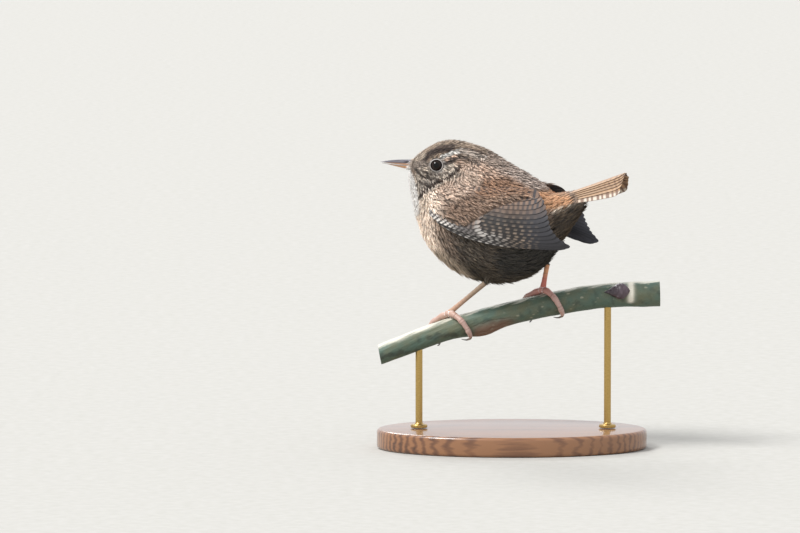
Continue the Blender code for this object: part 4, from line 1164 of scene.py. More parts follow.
def makeWingBed(side):
    sign = -1 if side == "left" else 1
    outline = smoothPath(wing["bed"] + wing["bed"][:1], 57)
    centre = np.array(wing["bedCentre"])
    bm = bmesh.new()
    bm.loops.layers.uv.new("lay")
    bmesh.ops.create_uvsphere(bm, u_segments=56, v_segments=20, radius=1, calc_uvs=True)
    for vert in bm.verts:
        radius = min(math.hypot(vert.co.x, vert.co.y), 1.0)
        share = (math.atan2(vert.co.y, vert.co.x) / math.tau) % 1.0
        x, z = centre + (alongPath(outline, share) - centre) * radius * 0.97
        height = (wing["bedOut"] if vert.co.z > 0 else wing["bedIn"]) * vert.co.z
        z = lifted(x, z, wing["lift"][side])
        point = wingPoint(np.float64(x), np.float64(z), np.float64(height))
        vert.co = Vector(toWorld(point * np.array((1, -sign, 1))))
    bmesh.ops.recalc_face_normals(bm, faces=bm.faces)
    obj = objectFrom("wing_bed_" + side, bm, skinMaterial)
    paintSkin(obj)
    finishPiece(obj, "plumage")


for makePart in (makeWing, makeWingBed):
    for side in legs:
        makePart(side)


# Soft brown shoulder feathers over the front and the upper part of each wing. They end at a line
# across it, below which the barred coverts show.

shoulder = {
    "spanX": (-19.5, 21.0),
    "spanZ": (-2.0, 14.5),
    "length": 3.6, "width": 1.2, "cover": 6.5,
    "droop": math.radians(-24),
    "heights": (0.45, 1.75),  # of the feet and the tips over the wing's sheet
    "lowest": 5.0,  # tufts rooted lower have the markings of this height
    "sink": 1.7,  # at the front and the top, where they pass into the body's coat
}


def shoulderShare(z, x):  # 1 where a tuft rooted there ends above the line
    tipX = x + shoulder["length"] * 0.85 * math.cos(shoulder["droop"])
    tipZ = z + shoulder["length"] * 0.85 * math.sin(shoulder["droop"])
    return (tipZ > atStops(wing["softLine"], tipX)) * 1.0


def shoulderPaint(z, x, template):
    place = wingSurface(np.maximum(z, shoulder["lowest"]), x)
    return tuftColours(photoPixels(toWorld(place)), template)


def shoulderUnwrap(z, x):
    return np.stack([(x + 24) / 70, (z + 16) / 36], -1)


def makeShoulder(side):
    def density(z, x):
        return shoulderShare(z, x) * shoulder["cover"] / (shoulder["length"] * shoulder["width"])

    z, x = scatter(wingSurface, shoulder["spanZ"], shoulder["spanX"], density)
    count = len(z)
    sunk = 1 - fade(-19.5, -13.5, x) * (1 - fade(10.5, 14.5, z))
    size = np.exp(rng.normal(0, coat["lengthSpread"], count))
    tufts = {
        "a": z, "b": x,
        "lie": np.tile((math.cos(shoulder["droop"]), 0.0, math.sin(shoulder["droop"])), (count, 1)),
        "length": shoulder["length"] * size * (1 - 0.35 * sunk),
        "width": shoulder["width"] * np.exp(rng.normal(0, coat["widthSpread"], count)) * (1 - 0.3 * sunk),
        "turn": rng.normal(0, coat["turn"], count),
        "foot": shoulder["heights"][0] - shoulder["sink"] * sunk,
        "tip": shoulder["heights"][1] - shoulder["sink"] * 0.8 * sunk
        + coat["loose"] * rng.normal(0, 1.0, count),
    }
    part = stampTufts(wingSurface, tufts, tuftTemplates["body"], shoulderPaint, shoulderUnwrap)
    if side == "right":
        part = mirrored(part)
    part["points"] = toWorld(part["points"])
    finishPiece(meshFromArrays("coat_shoulder_" + side, [part], coatMaterial), "plumage")


for side in legs:
    makeShoulder(side)


def evenCover(a, b):
    return np.full_like(a, thigh["density"])


def makeThighCoat():  # small feathers down each thigh to the heel
    parts = []
    for side in legs:
        surface = thighTube(side, thigh["coatInset"])
        angle, run = scatter(surface, (0, math.tau), thigh["coatSpan"], evenCover, (24, 24))
        tufts = looseTufts(surface, angle, run, (1.2, 1.8), (0.5, 0.7), 0.3)

        def paint(a, b, template, surface=surface):
            return tuftColours(photoPixels(surface(a, np.clip(b, 0, 1))), template)

        parts.append(stampTufts(surface, tufts, tuftTemplates["body"], paint, bodyUnwrap))
    finishPiece(meshFromArrays("coat_thighs", parts, coatMaterial), "plumage")


makeThighCoat()
print("wings made")


# Tail: six pairs of barred feathers laid like a roof, the middle pair uppermost

tail = {
    "root": np.array((25.3, 0.0, 9.2)),
    "rise": math.radians(19.8),
    "length": 30.6,
    "arch": 5.2,
    "slope": math.radians(56),
    "vaneWidth": 4.8,
    "pairs": 6,
    "thickness": 0.14,
    "fan": ((0.5, 0.5), (0.9, 1.15)),  # at the roots and at the tips: the first pair's place, and each step
    "spreadOut": 1.3,  # the near outer feather stands out further
    "shorter": 0.11, "stagger": 0.4, "uneven": 0.35,  # in length
    "layer": 0.3,
    "profile": (
        (0, 0.5), (0.3, 0.85), (0.6, 1.0), (0.86, 0.98), (0.93, 0.84), (0.97, 0.62), (0.99, 0.36), (1, 0.12),
    ),
}
tailColours = palette(rufous="#a3805f", bar="#6a4a38", pale="#c0a68b", white="#cfc6b8", dusk="#5c493c")


def tailPoint(along, across, height):
    angle = np.minimum(np.abs(across) / tail["arch"], tail["slope"])
    straight = np.maximum(np.abs(across) - tail["arch"] * tail["slope"], 0.0)
    side = np.copysign((tail["arch"] + height) * np.sin(angle) + straight * np.cos(angle), across)
    rise = (tail["arch"] + height) * np.cos(angle) - tail["arch"] - straight * np.sin(angle)
    c, s = math.cos(tail["rise"]), math.sin(tail["rise"])
    return tail["root"] + np.stack([along * c - rise * s, side, along * s + rise * c], -1)


def tailPaint(run, across, along, pair, sign, under):
    # each feather shows the strip by its outer edge, and the middle pair its whole width
    outer = pair == tail["pairs"] - 1
    edge = across * sign
    wave = 0.5 + 0.5 * np.cos(math.tau * (along / 2.0 + rng.uniform() + 0.12 * np.sin(along * 1.3 + pair)))
    streak = 0.5 + 0.5 * np.sin(across * 9 + along * 0.35 + rng.uniform(0, math.tau))
    bars = fade(0.5, 0.85, wave) * (0.14 + 0.5 * fade(0.6, 0.95, run)) * rng.uniform(0.6, 1.0)
    bars = bars + 0.22 * streak
    ground = blend(tailColours["rufous"], tailColours["pale"], 0.5 * fade(0.6, 0.95, edge))
    if outer:
        ground = blend(ground, tailColours["white"], 0.8 * fade(0.1, 0.6, edge) * fade(0.25, 0.5, run))
        bars = 0.85 * fade(0.45, 0.65, wave) * fade(0.1, 0.35, run)
    colour = blend(ground, tailColours["bar"], bars)
    shaft = np.exp(-(((across * sign - 0.3) / 0.07) ** 2))
    # the shaft darker, and both edges of each vane: a dark edge with painted shade where the feathers overlap
    colour = blend(colour, tailColours["dusk"], 0.45 * shaft + 0.5 * fade(0.94, 1.0, np.abs(across)))
    return colour * np.where(under < 0, 0.85, 1.0)[:, None] * float(np.exp(rng.normal(0, 0.07)))


def makeTail():
    across, run, under = vaneShape["points"].T
    wide = atStops(tail["profile"], run)
    points, colours, bake = [], [], []
    for pair in range(tail["pairs"]):
        for sign in (-1, 1):
            start, end = [first + each * pair for first, each in tail["fan"]]
            if pair == tail["pairs"] - 1 and sign < 0:
                end += tail["spreadOut"]
            far = 0.5 + 0.5 * sign  # 1 on the far side, whose feathers lie half a layer lower
            length = tail["length"] - tail["shorter"] * pair**2 - tail["stagger"] * far
            length += rng.uniform(-tail["uneven"], tail["uneven"])
            top = -(pair + 0.5 * far) * tail["layer"] - 0.1
            along = 1.0 + run * (length - 1.0)
            place = sign * (start + (end - start) * run) + across * wide * tail["vaneWidth"] / 2
            height = top + under * tail["thickness"] - 0.04 * across**2
            height += 0.05 * np.exp(-((across / 0.1) ** 2))  # the shaft
            points.append(toWorld(tailPoint(along, place, height)))
            colours.append(tailPaint(run, across, along, pair, sign, under))
            cell = np.array((pair, (sign + 1) / 2)) / 6
            bake.append(cell + 0.01 + np.stack([(across + 1) / 2, run], -1) * 0.14)
    piece = meshFromArrays("tail_feathers", [vanePart(points, colours, bake)], vaneMaterial, 50)
    finishPiece(piece, "tail_feathers", "tail")


makeTail()
print("tail made")


# Eyes: wet dark balls in rims of bare, pale, beaded skin

eye = {
    "place": (-17.4, 20.6),
    "sink": 1.25,
    "pupil": 1.0,
    "pupilEdge": 0.12,
    "rim": ((1.94, -0.45), (1.96, -0.12), (2.03, 0.06), (2.14, 0.12), (2.26, 0.04), (2.4, -0.2), (2.5, -0.7)),
    "rimLong": 1.06,
    "rimHigh": 0.96,
    "beads": 30,
    "beadHeight": 0.035,
    "beadRing": (2.12, 0.14),  # where on the rim they stand, and how wide they are
}
# a wet cornea: near black, with one small sharp light in it
eyeMaterial = paintedMaterial("wetEyeball", 0.06, 0.12, 0.35, 0.0, IOR=1.38, Specular_IOR_Level=0.36)
# bare lid skin: pale, dry and beaded, so that it frames the eye without a shine
lidMaterial = paintedMaterial("beadedLidSkin", 0.6, 0.18, 0.25, 0.06)
eyeColours = palette(
    pupil="#050505", iris="#1d120d", edge="#080606", lash="#2a2322", lid="#aaa4a0", dust="#7d746d",
)


def headToWorld(points):  # from the unturned head to the world
    return toWorld(body["neckPivot"] + turnZ(points - body["neckPivot"], body["headTurn"]))


def worldToHead(points):
    return body["neckPivot"] + turnZ(toBird(points) - body["neckPivot"], -body["headTurn"])


def eyeAxes(side):  # the eye's centre in the unturned head, its way out, along the head and up
    centre = eyeCentres[side]
    sign = -1.0 if side == "left" else 1.0
    bm = rolledGrid(24, 42, bodyPlain)
    start = Vector((eye["place"][0], sign * 30, eye["place"][1]))
    _, normal, _, _ = BVHTree.FromBMesh(bm).ray_cast(start, Vector((0, -sign, 0)))
    bm.free()
    out = unit(np.array(normal) * 0.5 + np.array((0, sign, 0)))
    along = unit(np.cross(np.cross(out, (1.0, 0.0, 0.0)), out))
    return centre, out, along, np.cross(out, along) * sign


def makeEye(side):
    centre, out, along, up = eyeAxes(side)
    low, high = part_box("eye_" + side)
    radius = (high[2] - low[2]) / 2 / mm
    bm = bmesh.new()
    bmesh.ops.create_uvsphere(bm, u_segments=64, v_segments=40, radius=radius)
    axes = Matrix((along, np.cross(out, along), out)).transposed()
    bmesh.ops.rotate(bm, matrix=axes, verts=bm.verts)
    for vert in bm.verts:
        vert.co = headToWorld(np.array(vert.co) + centre)
    ball = objectFrom("eye_ball_" + side, bm, eyeMaterial)

    def paint(points):
        away = worldToHead(points) - centre
        high = dot(away, out)
        far = np.where(high > 0, np.linalg.norm(away - out * high[:, None], axis=-1), radius)
        ring = fade(eye["pupil"] - eye["pupilEdge"], eye["pupil"] + eye["pupilEdge"], far)
        colour = blend(eyeColours["pupil"], eyeColours["iris"], ring)
        return blend(colour, eyeColours["edge"], fade(1.6, 1.9, far))

    paintMesh(ball, paint)
    finishPiece(ball, "eye", "eye_" + side)
    rim = turnedBody(smoothPath(eye["rim"], 25), 96)
    seat = centre + out * eye["sink"]
    beadRadius, beadWidth = eye["beadRing"]
    for vert in rim.verts:
        x, y, z = vert.co
        near = math.exp(-(((math.hypot(x, y) - beadRadius) / beadWidth) ** 2))
        beads = eye["beadHeight"] * math.sin(eye["beads"] * math.atan2(y, x)) * near
        spot = seat + along * x * eye["rimLong"] + up * y * eye["rimHigh"] + out * (z + beads)
        vert.co = headToWorld(spot)
    lid = objectFrom("eyelid_" + side, rim, lidMaterial)

    def paintLid(points):
        away = worldToHead(points) - seat
        far = np.linalg.norm(away - out * dot(away, out)[:, None], axis=-1)
        # painted shade along the lid's inner edge, by the eye
        colour = blend(eyeColours["lash"], eyeColours["lid"], fade(1.99, 2.07, far))
        # the lid darker towards its outer edge, where it passes under the feathers
        return blend(colour, eyeColours["dust"], fade(2.2, 2.4, far))

    paintMesh(lid, paintLid)
    finishPiece(lid, "plumage")


for side in legs:
    makeEye(side)
print("eyes set")


# Bill: two halves of horn, the upper one dark along its ridge, the lower one flesh-coloured

bill = {
    "rootX": -26.6, "length": 11.2, "tipZ": 21.1, "culmenZ": 22.0, "mouthZ": 19.9, "lowerZ": 18.5,
    "halfWidth": 1.9, "tipHalfWidth": 0.14, "lean": 0.24, "gap": 0.15,
    "thinnest": 0.12,
    "nostril": (-28.3, 21.15),
    "nostrilSize": (0.75, 0.3),
    "nostrilSlope": 0.15,
    "nostrilDepth": 0.5,
}
billColours = palette(
    root="#b78762", reach="#a5856f", ridge="#3f3b43", gleam="#77707a", tip="#5a5053", nostril="#1c1516",
    mouth="#2b2020",
)
# horn under a thin polish: soft broad lights along the ridge
billMaterial = paintedMaterial(
    "polishedHornBill", 0.34, 0.5, 0.1, 0.02, Coat_Weight=0.25, Coat_Roughness=0.25,
)


def billLines(run):  # heights of the ridge, the mouth and the lower edge
    tip = bill["tipZ"]
    return (
        bill["culmenZ"] + (tip - bill["culmenZ"]) * run**3.5,
        bill["mouthZ"] + (tip - 0.1 - bill["mouthZ"]) * run**1.6,
        bill["lowerZ"] + (tip - 0.15 - bill["lowerZ"]) * run**1.2,
    )


def nostrilAt(x, z, long, high):  # squared distance from the slot, in its own lengths
    nx, nz = bill["nostril"]
    return ((x - nx) / long) ** 2 + ((z - nz - bill["nostrilSlope"] * (x - nx)) / high) ** 2


def mandibleSurface(upper, reach):
    def surface(angle, run):
        run = run * reach
        culmen, mouth, lower = billLines(run)
        half = bill["tipHalfWidth"] + (bill["halfWidth"] - bill["tipHalfWidth"]) * (1 - run) ** 0.9
        flat = mouth + (bill["gap"] if upper else -bill["gap"])
        least = bill["thinnest"]
        far = np.maximum(culmen, flat + least) if upper else np.minimum(lower, flat - least)
        rise = np.maximum(np.sin(angle), 0.0) ** 0.8
        z = flat + (far - flat) * rise
        x = bill["rootX"] - run * bill["length"] - (bill["culmenZ"] - z) * bill["lean"] * (1 - run)
        y = half * np.cos(angle)
        if upper:  # a nostril is a shallow slot in a smooth hollow
            slot = np.exp(-nostrilAt(x, z, *bill["nostrilSize"]) * 1.2)
            y = y - np.sign(y) * bill["nostrilDepth"] * slot * (z > flat + 0.02)
        return headToWorld(np.stack([x, y, z], -1))

    return surface


def paintBill(points):
    plain = worldToHead(points)
    x, z = plain[:, 0], plain[:, 2]
    run = np.clip((bill["rootX"] - x) / bill["length"], 0, 1)
    culmen, mouth, _ = billLines(run)
    height = (z - mouth) / np.maximum(culmen - mouth, 0.1)
    colour = blend(billColours["root"], billColours["reach"], fade(0.2, 0.9, run))
    colour = blend(colour, billColours["ridge"], fade(0.12, 0.5, height))
    # painted highlight: a paler band along the upper side of the bill, towards its root
    colour = blend(colour, billColours["gleam"], 0.5 * np.exp(-(((height - 0.8) / 0.12) ** 2)) * (1 - run))
    colour = blend(colour, billColours["tip"], 0.6 * fade(0.72, 1.0, run))
    # painted shade in the nostril's slot
    slot = np.exp(-nostrilAt(x, z, 0.6, 0.24))
    colour = blend(colour, billColours["nostril"], np.clip(slot * 1.3, 0, 1))
    # painted shade along the gap between the mandibles
    return blend(colour, billColours["mouth"], 0.85 * np.exp(-(((z - mouth) / 0.17) ** 2)))


for name, upper, reach in (("upper", True, 1.0), ("lower", False, 0.95)):
    shape = rolledGrid(56, 72, mandibleSurface(upper, reach))
    horn = objectFrom("bill_horn_" + name, shape, billMaterial, 50)
    finishPiece(paintMesh(horn, paintBill), "bill", "bill_" + name)
print("bill made")


# Legs: scaled shanks, padded toes that grip the branch, and hooked claws

# living leg skin: satin plates with a weak, wide shine
legMaterial = paintedMaterial("scaledLegSkin", 0.5, 0.3, 0.12, 0.03, Coat_Weight=0.1, Coat_Roughness=0.35)
# claw horn: harder and glossier than the toes
clawMaterial = paintedMaterial("darkClawHorn", 0.35, 0.4, 0.1, 0.01, Coat_Weight=0.3, Coat_Roughness=0.2)
# each leg its own foot and heel tones: painted light and shade over one skin colour
legColours = palette(
    toe="#b3948a", groove="#7d5f55", leftFoot="#b08d76", leftHeel="#8e7a66", rightFoot="#b9665a",
    rightHeel="#c98f66", clawRoot="#8a7568", claw="#3d3632",
)
plates = {"toe": (0.95, 0.07), "shank": (1.9, 0.1), "pads": 0.12}  # spacing and height of the plates


def scutes(run, angle, length, step, depth):  # overlapping plates on the front of a shank or toe
    phase = (run * length / step) % 1.0
    plate = phase * (1 - fade(0.88, 1.0, phase))
    front = fade(-0.5, 0.1, np.cos(angle))
    return depth * plate * front, fade(0.8, 0.97, phase) * (1 - fade(0.985, 1.0, phase)) * front


def limbSurface(line, radii, length, step, depth, pads=0.0, padStep=2.4):
    tube = tubeSurface(line, np.ones(len(radii)))
    centreLine = tubeSurface(line, np.zeros(len(radii)))

    def surface(angle, run):
        centre = centreLine(angle, run)
        out = tube(angle, run) - centre
        raised, _ = scutes(run, angle - math.pi / 2, length, step, depth)
        radius = np.interp(run, np.linspace(0, 1, len(radii)), radii)
        under = np.maximum(-np.cos(angle - math.pi / 2), 0)
        bulge = pads * under * (0.5 + 0.5 * np.cos(math.tau * (run * length / padStep + 0.2)))
        return centre + out * (radius + raised + bulge)[:, None]

    return surface


def limbPaint(line, startColour, endColour, length, step):
    def paint(points):
        far = np.linalg.norm(points[:, None, :] - line[None], axis=-1)
        nearest = far.argmin(1)
        run = nearest / (len(line) - 1)
        phase = (run * length / step) % 1.0
        # painted shade in the groove at the edge of each plate
        groove = 0.55 * fade(0.8, 0.95, phase)
        colour = blend(startColour, endColour, fade(0.1, 0.7, run))
        return blend(colour, legColours["groove"], groove)

    return paint


def toeRoute(footX, wrap, reach, radii):
    run = np.linspace(0, 1, len(radii))
    x = footX + reach * np.sin(run * math.pi / 2)
    return perchPoint(x, math.radians(wrap) * run, foot["gap"] + np.array(radii))


def clawSurface(footX, wrap, reach, back, toe):
    end, ahead = toe[-1], unit(toe[-1] - toe[-2])
    run = np.linspace(0, 1, 25)
    angle = math.radians(wrap) + math.radians(math.copysign(foot["clawWrap"], wrap)) * run
    height = foot["gap"] + foot["clawRadius"] + foot["clawArch"] * np.sin(math.pi * run) - 0.3 * run
    around = perchPoint(footX + reach + back * run**1.5, angle, height)
    share = np.minimum(run * 2.5, 1.0)[:, None]
    straight = end + ahead * (foot["gap"] + 0.3 + 5 * run)[:, None]
    line = straight * (1 - share) + around * share
    line[0] = end + ahead * 0.1
    radii = foot["clawRadius"] * np.append(1.0 - 0.82 * run[:-1], 0.06)
    return tubeSurface(line, radii), line


def joinMeshes(main, others):  # one closed body from several, with a collection union
    group = bpy.data.collections.new("pieces")
    bpy.context.scene.collection.children.link(group)
    for other in others:
        bpy.context.scene.collection.objects.unlink(other)
        group.objects.link(other)
    step = main.modifiers.new("union", "BOOLEAN")
    step.operation, step.operand_type, step.solver = "UNION", "COLLECTION", "MANIFOLD"
    step.collection = group
    bpy.context.view_layer.update()
    main.data = bpy.data.meshes.new_from_object(main.evaluated_get(bpy.context.evaluated_depsgraph_get()))
    main.modifiers.clear()
    for other in others:
        bpy.data.objects.remove(other)
    bpy.data.collections.remove(group)
    return main


def makeLeg(side):
    pad, heel, up, _ = legLine(side)
    footX = legs[side]["footX"]
    footColour, heelColour = legColours[side + "Foot"], legColours[side + "Heel"]
    ball = bmesh.new()
    bmesh.ops.create_uvsphere(ball, u_segments=32, v_segments=24, radius=foot["pad"])
    bmesh.ops.scale(ball, vec=(1, 1, foot["flatness"]), verts=ball.verts)
    _, rise = perchCentre(np.float64(footX))
    turn = Vector(rise).to_track_quat("Z", "Y").to_matrix()
    bmesh.ops.rotate(ball, matrix=turn, verts=ball.verts)
    bmesh.ops.translate(ball, vec=pad, verts=ball.verts)
    piece = objectFrom("foot_skin_" + side, ball, legMaterial, 60)
    padTint = blend(legColours["toe"], footColour, 0.5)
    paintMesh(piece, lambda points: padTint)
    toes = []
    for toeName, (wrap, reach, back) in foot["toes"].items():
        joints = np.cos(np.linspace(0, 1, 49) * math.tau * 3)
        radii = np.linspace(*foot["toeRadii"], 49) * (1 - 0.07 * joints)
        line = toeRoute(footX, wrap, reach, radii)
        length = float(np.linalg.norm(np.diff(line, axis=0), axis=1).sum())
        shape = rolledGrid(28, 90, limbSurface(line, radii, length, *plates["toe"], plates["pads"]))
        skinObj = objectFrom("toe", shape, legMaterial, 60)
        paint = limbPaint(line, padTint, legColours["toe"], length, plates["toe"][0])
        toes.append(paintMesh(skinObj, paint))
        surface, clawLine = clawSurface(footX, wrap, reach, back, line)
        toeName = side + "_" + toeName
        claw = objectFrom("claw_horn_" + toeName, rolledGrid(20, 40, surface), clawMaterial, 60)

        def paintClaw(points, start=clawLine[0]):
            far = np.linalg.norm(points - start, axis=1)
            return blend(legColours["clawRoot"], legColours["claw"], fade(0.3, 3.0, far))

        finishPiece(paintMesh(claw, paintClaw), "claw", "claw_" + toeName)
    ankle = pad + up * foot["ankle"]
    line = smoothPath((pad, pad + up * foot["ankle"] / 2, ankle), 9)
    stub = tubeSurface(line, foot["tarsusRadius"] * np.linspace(1.45, 1.15, 9))
    stubObj = objectFrom("stub", rolledGrid(28, 16, stub), legMaterial, 60)
    toes.append(paintMesh(stubObj, lambda points: footColour))
    finishPiece(joinMeshes(piece, toes), "leg", "foot_" + side)
    line = smoothPath((ankle + up * 0.05, (ankle + heel) / 2, heel + up * 0.4), 241)
    length = float(np.linalg.norm(line[-1] - line[0]))
    share = np.linspace(0, 1, 61)
    radii = foot["tarsusRadius"] * (1.12 - 0.5 * share * (1 - share))
    shape = rolledGrid(32, 150, limbSurface(line, radii, length, *plates["shank"]))
    shank = objectFrom("shank_" + side, shape, legMaterial, 60)
    paintMesh(shank, limbPaint(line, footColour, heelColour, length, plates["shank"][0]))
    finishPiece(shank, "leg", "tarsus_" + side)


for side in legs:
    makeLeg(side)
print("legs made")


# Branch: smooth green bark with pale pores, a cracked brown swelling below and a scale-covered bud

bark = {"ridge": 0.10, "crack": 0.3, "waviness": 0.18}
bud = {"start": 32.8, "end": 41.8, "angle": math.radians(-68), "radius": 2.9, "scales": 4.5}


def softNoise(x, y, seed):  # a smooth random relief, about -1 to 1
    total = 0.0
    local = np.random.default_rng(seed)
    for octave in range(4):
        freq = 2.0**octave
        for _ in range(3):
            fx, fy, phase = local.normal(0, freq), local.normal(0, freq), local.uniform(0, math.tau)
            total = total + np.sin(x * fx + y * fy + phase) / freq / 3
    return total


def perchRelief(x, angle):
    around = angle * 4.0
    wave = bark["waviness"] * softNoise(x * 0.10, np.cos(angle) * 1.5, 3)
    ridge = bark["ridge"] * softNoise(x * 0.35, np.cos(angle) * 7 + np.sin(angle) * 5, 4)
    under = swellingShare(x, angle)
    cracks = np.maximum(np.sin(around * 2.2 + softNoise(x * 0.5, around * 0.3, 5) * 2.2), 0) ** 6
    return wave + ridge - bark["crack"] * cracks * under


def swellingShare(x, angle):
    near = fade(-15.5, -12.0, x) * (1 - fade(-4.0, 4.0, x))
    return near * fade(-0.1, 0.75, -np.cos(angle))


def perchSurface(angle, run):
    start, end = perch["line"][0][0], perch["line"][-1][0]
    x = start + (end - start) * run
    return perchPoint(x, angle, perchRelief(x, angle))


# young bark: smooth and a little waxy, dulled by fine algae
barkMaterial = paintedMaterial("smoothGreenBark", 0.6, 0.35, 0.22, 0.06, Coat_Weight=0.05, Coat_Roughness=0.5)
barkColours = palette(
    green="#4a5f52", olive="#5b5f49", dark="#26312b", pale="#d9d4c4", callus="#6b5444", pore="#b9b29c",
    budRoot="#2e252d", budTip="#4d3b43", budBloom="#6f6168",
)


def paintPerch(points):
    centre, up = perchCentre(points[:, 0])
    away = points - centre
    cosine = dot(away, up) / np.maximum(np.linalg.norm(away, axis=1), 0.1)
    angle = np.arctan2(away[:, 1], dot(away, up))
    x = points[:, 0]
    patch = softNoise(x * 0.22, angle * 1.3, 11)
    colour = blend(barkColours["green"], barkColours["olive"], fade(-0.4, 0.9, patch))
    colour = blend(colour, barkColours["dark"], 0.6 * fade(0.1, 1.0, softNoise(x * 0.5, angle * 3, 12)))
    colour = blend(colour, barkColours["callus"], swellingShare(x, angle))
    flecks = fade(0.9, 1.2, softNoise(x * 1.6, angle * 8, 16)) * fade(-22.0, 14.0, x)
    colour = blend(colour, barkColours["pore"], 0.4 * flecks)
    scar = np.exp(-(((x - bud["end"] - 0.3) / 1.1) ** 2)) * fade(0.35, 0.75, np.cos(angle - bud["angle"]))
    colour = blend(colour, barkColours["pale"], np.clip(1.3 * scar, 0, 1))
    # painted highlight: the top of the branch pale where the light falls, wider towards the thin end
    thin = 1 - fade(-40.0, -14.0, x)
    cover = fade(0.80 - 0.25 * thin, 1.0 - 0.1 * thin, cosine + 0.12 * softNoise(x * 0.4, angle * 4, 13))
    return blend(colour, barkColours["pale"], 0.8 * cover)


def sawnEnd(name, height):
    # sapwood cut across: rings about the pith, dry and matt
    material = newMaterial(name, 0.75)
    centred = addMapping(material, Location=(0.0, 0.0, -height * mm))
    rings = addNode(
        material, "ShaderNodeTexWave", {"wave_type": "RINGS", "rings_direction": "X"},
        {"Scale": 0.5 / (0.7 * mm), "Distortion": 1.5, "Detail": 2.0}, {"Vector": centred},
    )
    addRamp(material, rings.outputs["Fac"], (0.2, "#b99a6c"), (0.8, "#dcc79c"))
    return material


perchPiece = objectFrom("perch_bark", rolledGrid(perch["sides"], perch["rings"], perchSurface), barkMaterial)
for (x, z), name in zip((perch["line"][0], perch["line"][-1]), ("sawnThinEnd", "sawnThickEnd")):
    perchPiece.data.materials.append(sawnEnd(name, z))
    for face in perchPiece.data.polygons:
        if len(face.vertices) > 4 and abs(face.center.x - x * mm) < 2 * mm:
            face.material_index = len(perchPiece.data.materials) - 1
            face.use_smooth = False
finishPiece(paintMesh(perchPiece, paintPerch), "bark", "perch")


def budSurface(angle, run):
    x = bud["start"] + (bud["end"] - bud["start"]) * run
    girth = bud["radius"] * (0.04 + np.sin(math.pi * np.minimum(run, 0.999) ** 1.6) ** 0.8)
    phase = (run * bud["scales"] + 0.5 * np.cos(angle * 2)) % 1.0
    girth = girth * (1 - 0.10 * (1 - phase))
    centre = perchPoint(x, np.full_like(x, bud["angle"]), 0.2)
    _, up = perchCentre(x)
    out = up * math.cos(bud["angle"]) + np.array((0, math.sin(bud["angle"]), 0))
    along = np.cross(np.array((0.0, 1.0, 0.0)), up)
    across = np.cross(out, along)
    return centre + (across * np.cos(angle)[:, None] + out * 0.75 * np.sin(angle)[:, None]) * girth[:, None]


def paintBud(points):
    run = (points[:, 0] - bud["start"]) / (bud["end"] - bud["start"])
    colour = blend(barkColours["budRoot"], barkColours["budTip"], fade(0.0, 1.0, run))
    bloom = fade(0.2, 0.9, softNoise(points[:, 0] * 2, points[:, 2] * 2, 15))
    return blend(colour, barkColours["budBloom"], 0.3 * bloom)


# bud scales: waxed, so that each scale's edge catches the light
budMaterial = paintedMaterial("waxyBudScales", 0.42, 0.3, 0.2, 0.04, Coat_Weight=0.2, Coat_Roughness=0.3)
budPiece = objectFrom("bud_scales", rolledGrid(40, 60, budSurface), budMaterial, 40)
finishPiece(paintMesh(budPiece, paintBud), "bud", "perch_bud")
print("branch made")


# Stand: an oval base of varnished walnut and two turned brass rods

stand = {
    "length": 96.0, "width": 64.0, "height": 7.0, "bevel": 1.2, "gap": 0.3,
    "rodRadius": 1.25, "rodX": {"left": -33.0, "right": 34.0}, "collarRadius": 3.0, "collarHeight": 1.8,
    "grain": 3.2,  # millimetres between the wood's rings
}
# walnut under a clear varnish: warm grain below a sharp, thin gloss
woodMaterial = newMaterial("varnishedWalnut", 0.32, Coat_Weight=0.6, Coat_Roughness=0.12)
stretch = addMapping(woodMaterial, Scale=(0.12, 1.0, 1.6))
warp = addNoise(woodMaterial, 9, 3.0, stretch)
rings = addNode(
    woodMaterial, "ShaderNodeTexWave", {"wave_type": "BANDS", "bands_direction": "Y"},
    {"Scale": 0.5 / (stand["grain"] * mm), "Distortion": 5.0, "Detail": 3.0, "Detail Scale": 1.5},
    {"Vector": stretch},
)
pores = addNoise(woodMaterial, 0.7, 2.0, stretch)
grained = warp
for source, weight in ((rings.outputs["Fac"], 0.5), (pores, 0.25)):
    grained = addNode(
        woodMaterial, "ShaderNodeMath", {"operation": "MULTIPLY_ADD"}, {1: weight}, {0: source, 2: grained},
    ).outputs[0]
addRamp(woodMaterial, grained, (0.35, "#3a2417"), (0.7, "#6b452c"), (1.0, "#8a5f3e"))
addBump(woodMaterial, pores, 0.12, 0.05)

# brass turned and brushed: blurred reflections broken by fine rings
brassMaterial = newMaterial("brushedBrass", 0.28, Metallic=1.0)
lines = addNoise(brassMaterial, 1.2, 3.0, addMapping(brassMaterial, Scale=(1.0, 1.0, 12.0)))
addRamp(brassMaterial, lines, (0.3, "#a3854c"), (0.7, "#c9ab6c"))
addBump(brassMaterial, lines, 0.15, 0.02)


def makeBase():
    bm = bmesh.new()
    bmesh.ops.create_cone(bm, cap_ends=True, segments=192, radius1=0.5, radius2=0.5, depth=stand["height"])
    bmesh.ops.scale(bm, vec=(stand["length"], stand["width"], 1), verts=bm.verts)
    bmesh.ops.translate(bm, vec=(0, 0, stand["height"] / 2), verts=bm.verts)
    rims = [e for e in bm.edges if abs(e.verts[0].co.z - e.verts[1].co.z) < weld]
    bmesh.ops.bevel(
        bm, geom=rims, offset=stand["bevel"], segments=6, profile=0.5, affect="EDGES", material=-1,
    )
    finishPiece(objectFrom("stand_base_wood", bm, woodMaterial, 30), "base", "stand_base")


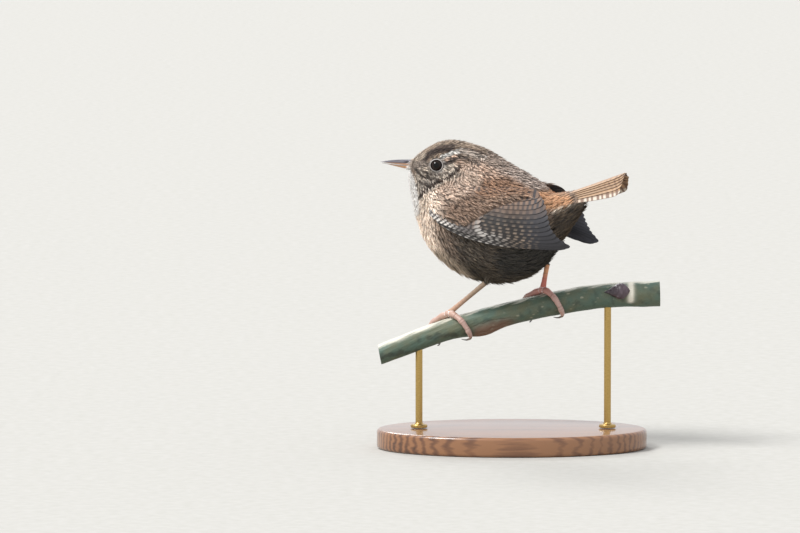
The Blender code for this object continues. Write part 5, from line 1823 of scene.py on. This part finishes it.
def makeRod(side, x):
    base, top = stand["height"] + stand["gap"], float(perchCentre(np.float64(x))[0][2])
    radius, collar, rise = stand["rodRadius"], stand["collarRadius"], stand["collarHeight"]
    profile = (
        (0, base), (collar - 0.15, base), (collar, base + 0.15), (collar, base + rise * 0.45),
        (collar - 0.25, base + rise * 0.62), (radius + 0.35, base + rise * 0.75), (radius, base + rise),
        (radius, top), (0, top),
    )
    bm = turnedBody(profile, 48)
    bmesh.ops.translate(bm, vec=(x, 0, 0), verts=bm.verts)
    finishPiece(objectFrom("stand_brass_" + side, bm, brassMaterial, 30), "rod", "stand_rod_" + side)


makeBase()
for side, x in stand["rodX"].items():
    makeRod(side, x)
print("stand made")


# Studio: a pale sweep of card, a soft key from the upper left and behind, a large fill

studio = {
    "key": 3.3, "rim": 1.0, "fill": 1.05, "softness": 20,  # the softness is each light's angle in degrees
    "keyFrom": (-58, 50), "rimFrom": (200, 40),  # azimuth and elevation
    "floorSize": 40.0,
}
# matt card: no shine, so that only shadows show on it
floorMaterial = newMaterial("mattCardSweep", 0.9)
addRamp(floorMaterial, addNoise(floorMaterial, 4, 5.0), (0.3, "#a9a7a1"), (0.7, "#b0aea9"))
sweep = bmesh.new()
bmesh.ops.create_grid(sweep, x_segments=1, y_segments=1, size=studio["floorSize"] / 2 / mm)
floor = objectFrom("floor", sweep, floorMaterial)


def aimLight(name, azimuth, elevation):
    light = bpy.data.lights.new(name, "SUN")
    light.energy, light.angle = studio[name], math.radians(studio["softness"])
    lamp = bpy.data.objects.new(name, light)
    a, e = math.radians(azimuth), math.radians(elevation)
    back = Vector((math.sin(a) * math.cos(e), -math.cos(a) * math.cos(e), math.sin(e)))
    lamp.rotation_euler = back.to_track_quat("Z", "Y").to_euler()
    bpy.context.scene.collection.objects.link(lamp)


aimLight("key", *studio["keyFrom"])
aimLight("rim", *studio["rimFrom"])
world = bpy.data.worlds.new("studio")
world.use_nodes = True
world.node_tree.nodes["Background"].inputs["Color"].default_value = rgba("#f1f3f6")
world.node_tree.nodes["Background"].inputs["Strength"].default_value = studio["fill"]
bpy.context.scene.world = world
bpy.context.scene.view_settings.view_transform = "Standard"

camera = bpy.data.cameras.new("camera")
sensor = 36.0
frameWidth = 2 * view["middle"][0] * view["pixel"]
camera.sensor_width = sensor
camera.lens = sensor * view["distance"] / frameWidth
camera.clip_end = 100.0
aimX, aimZ = view["middle"][0] - view["zeroX"], view["zeroY"] - view["middle"][1]
aim = np.array((aimX, 0.0, aimZ)) * view["pixel"]
back = np.array((0.0, -math.cos(view["elevation"]), math.sin(view["elevation"])))
cameraObj = bpy.data.objects.new("camera", camera)
cameraObj.location = (aim + back * view["distance"]) * mm
cameraObj.rotation_euler = Vector(back).to_track_quat("Z", "Y").to_euler()
bpy.context.scene.collection.objects.link(cameraObj)
bpy.context.scene.camera = cameraObj
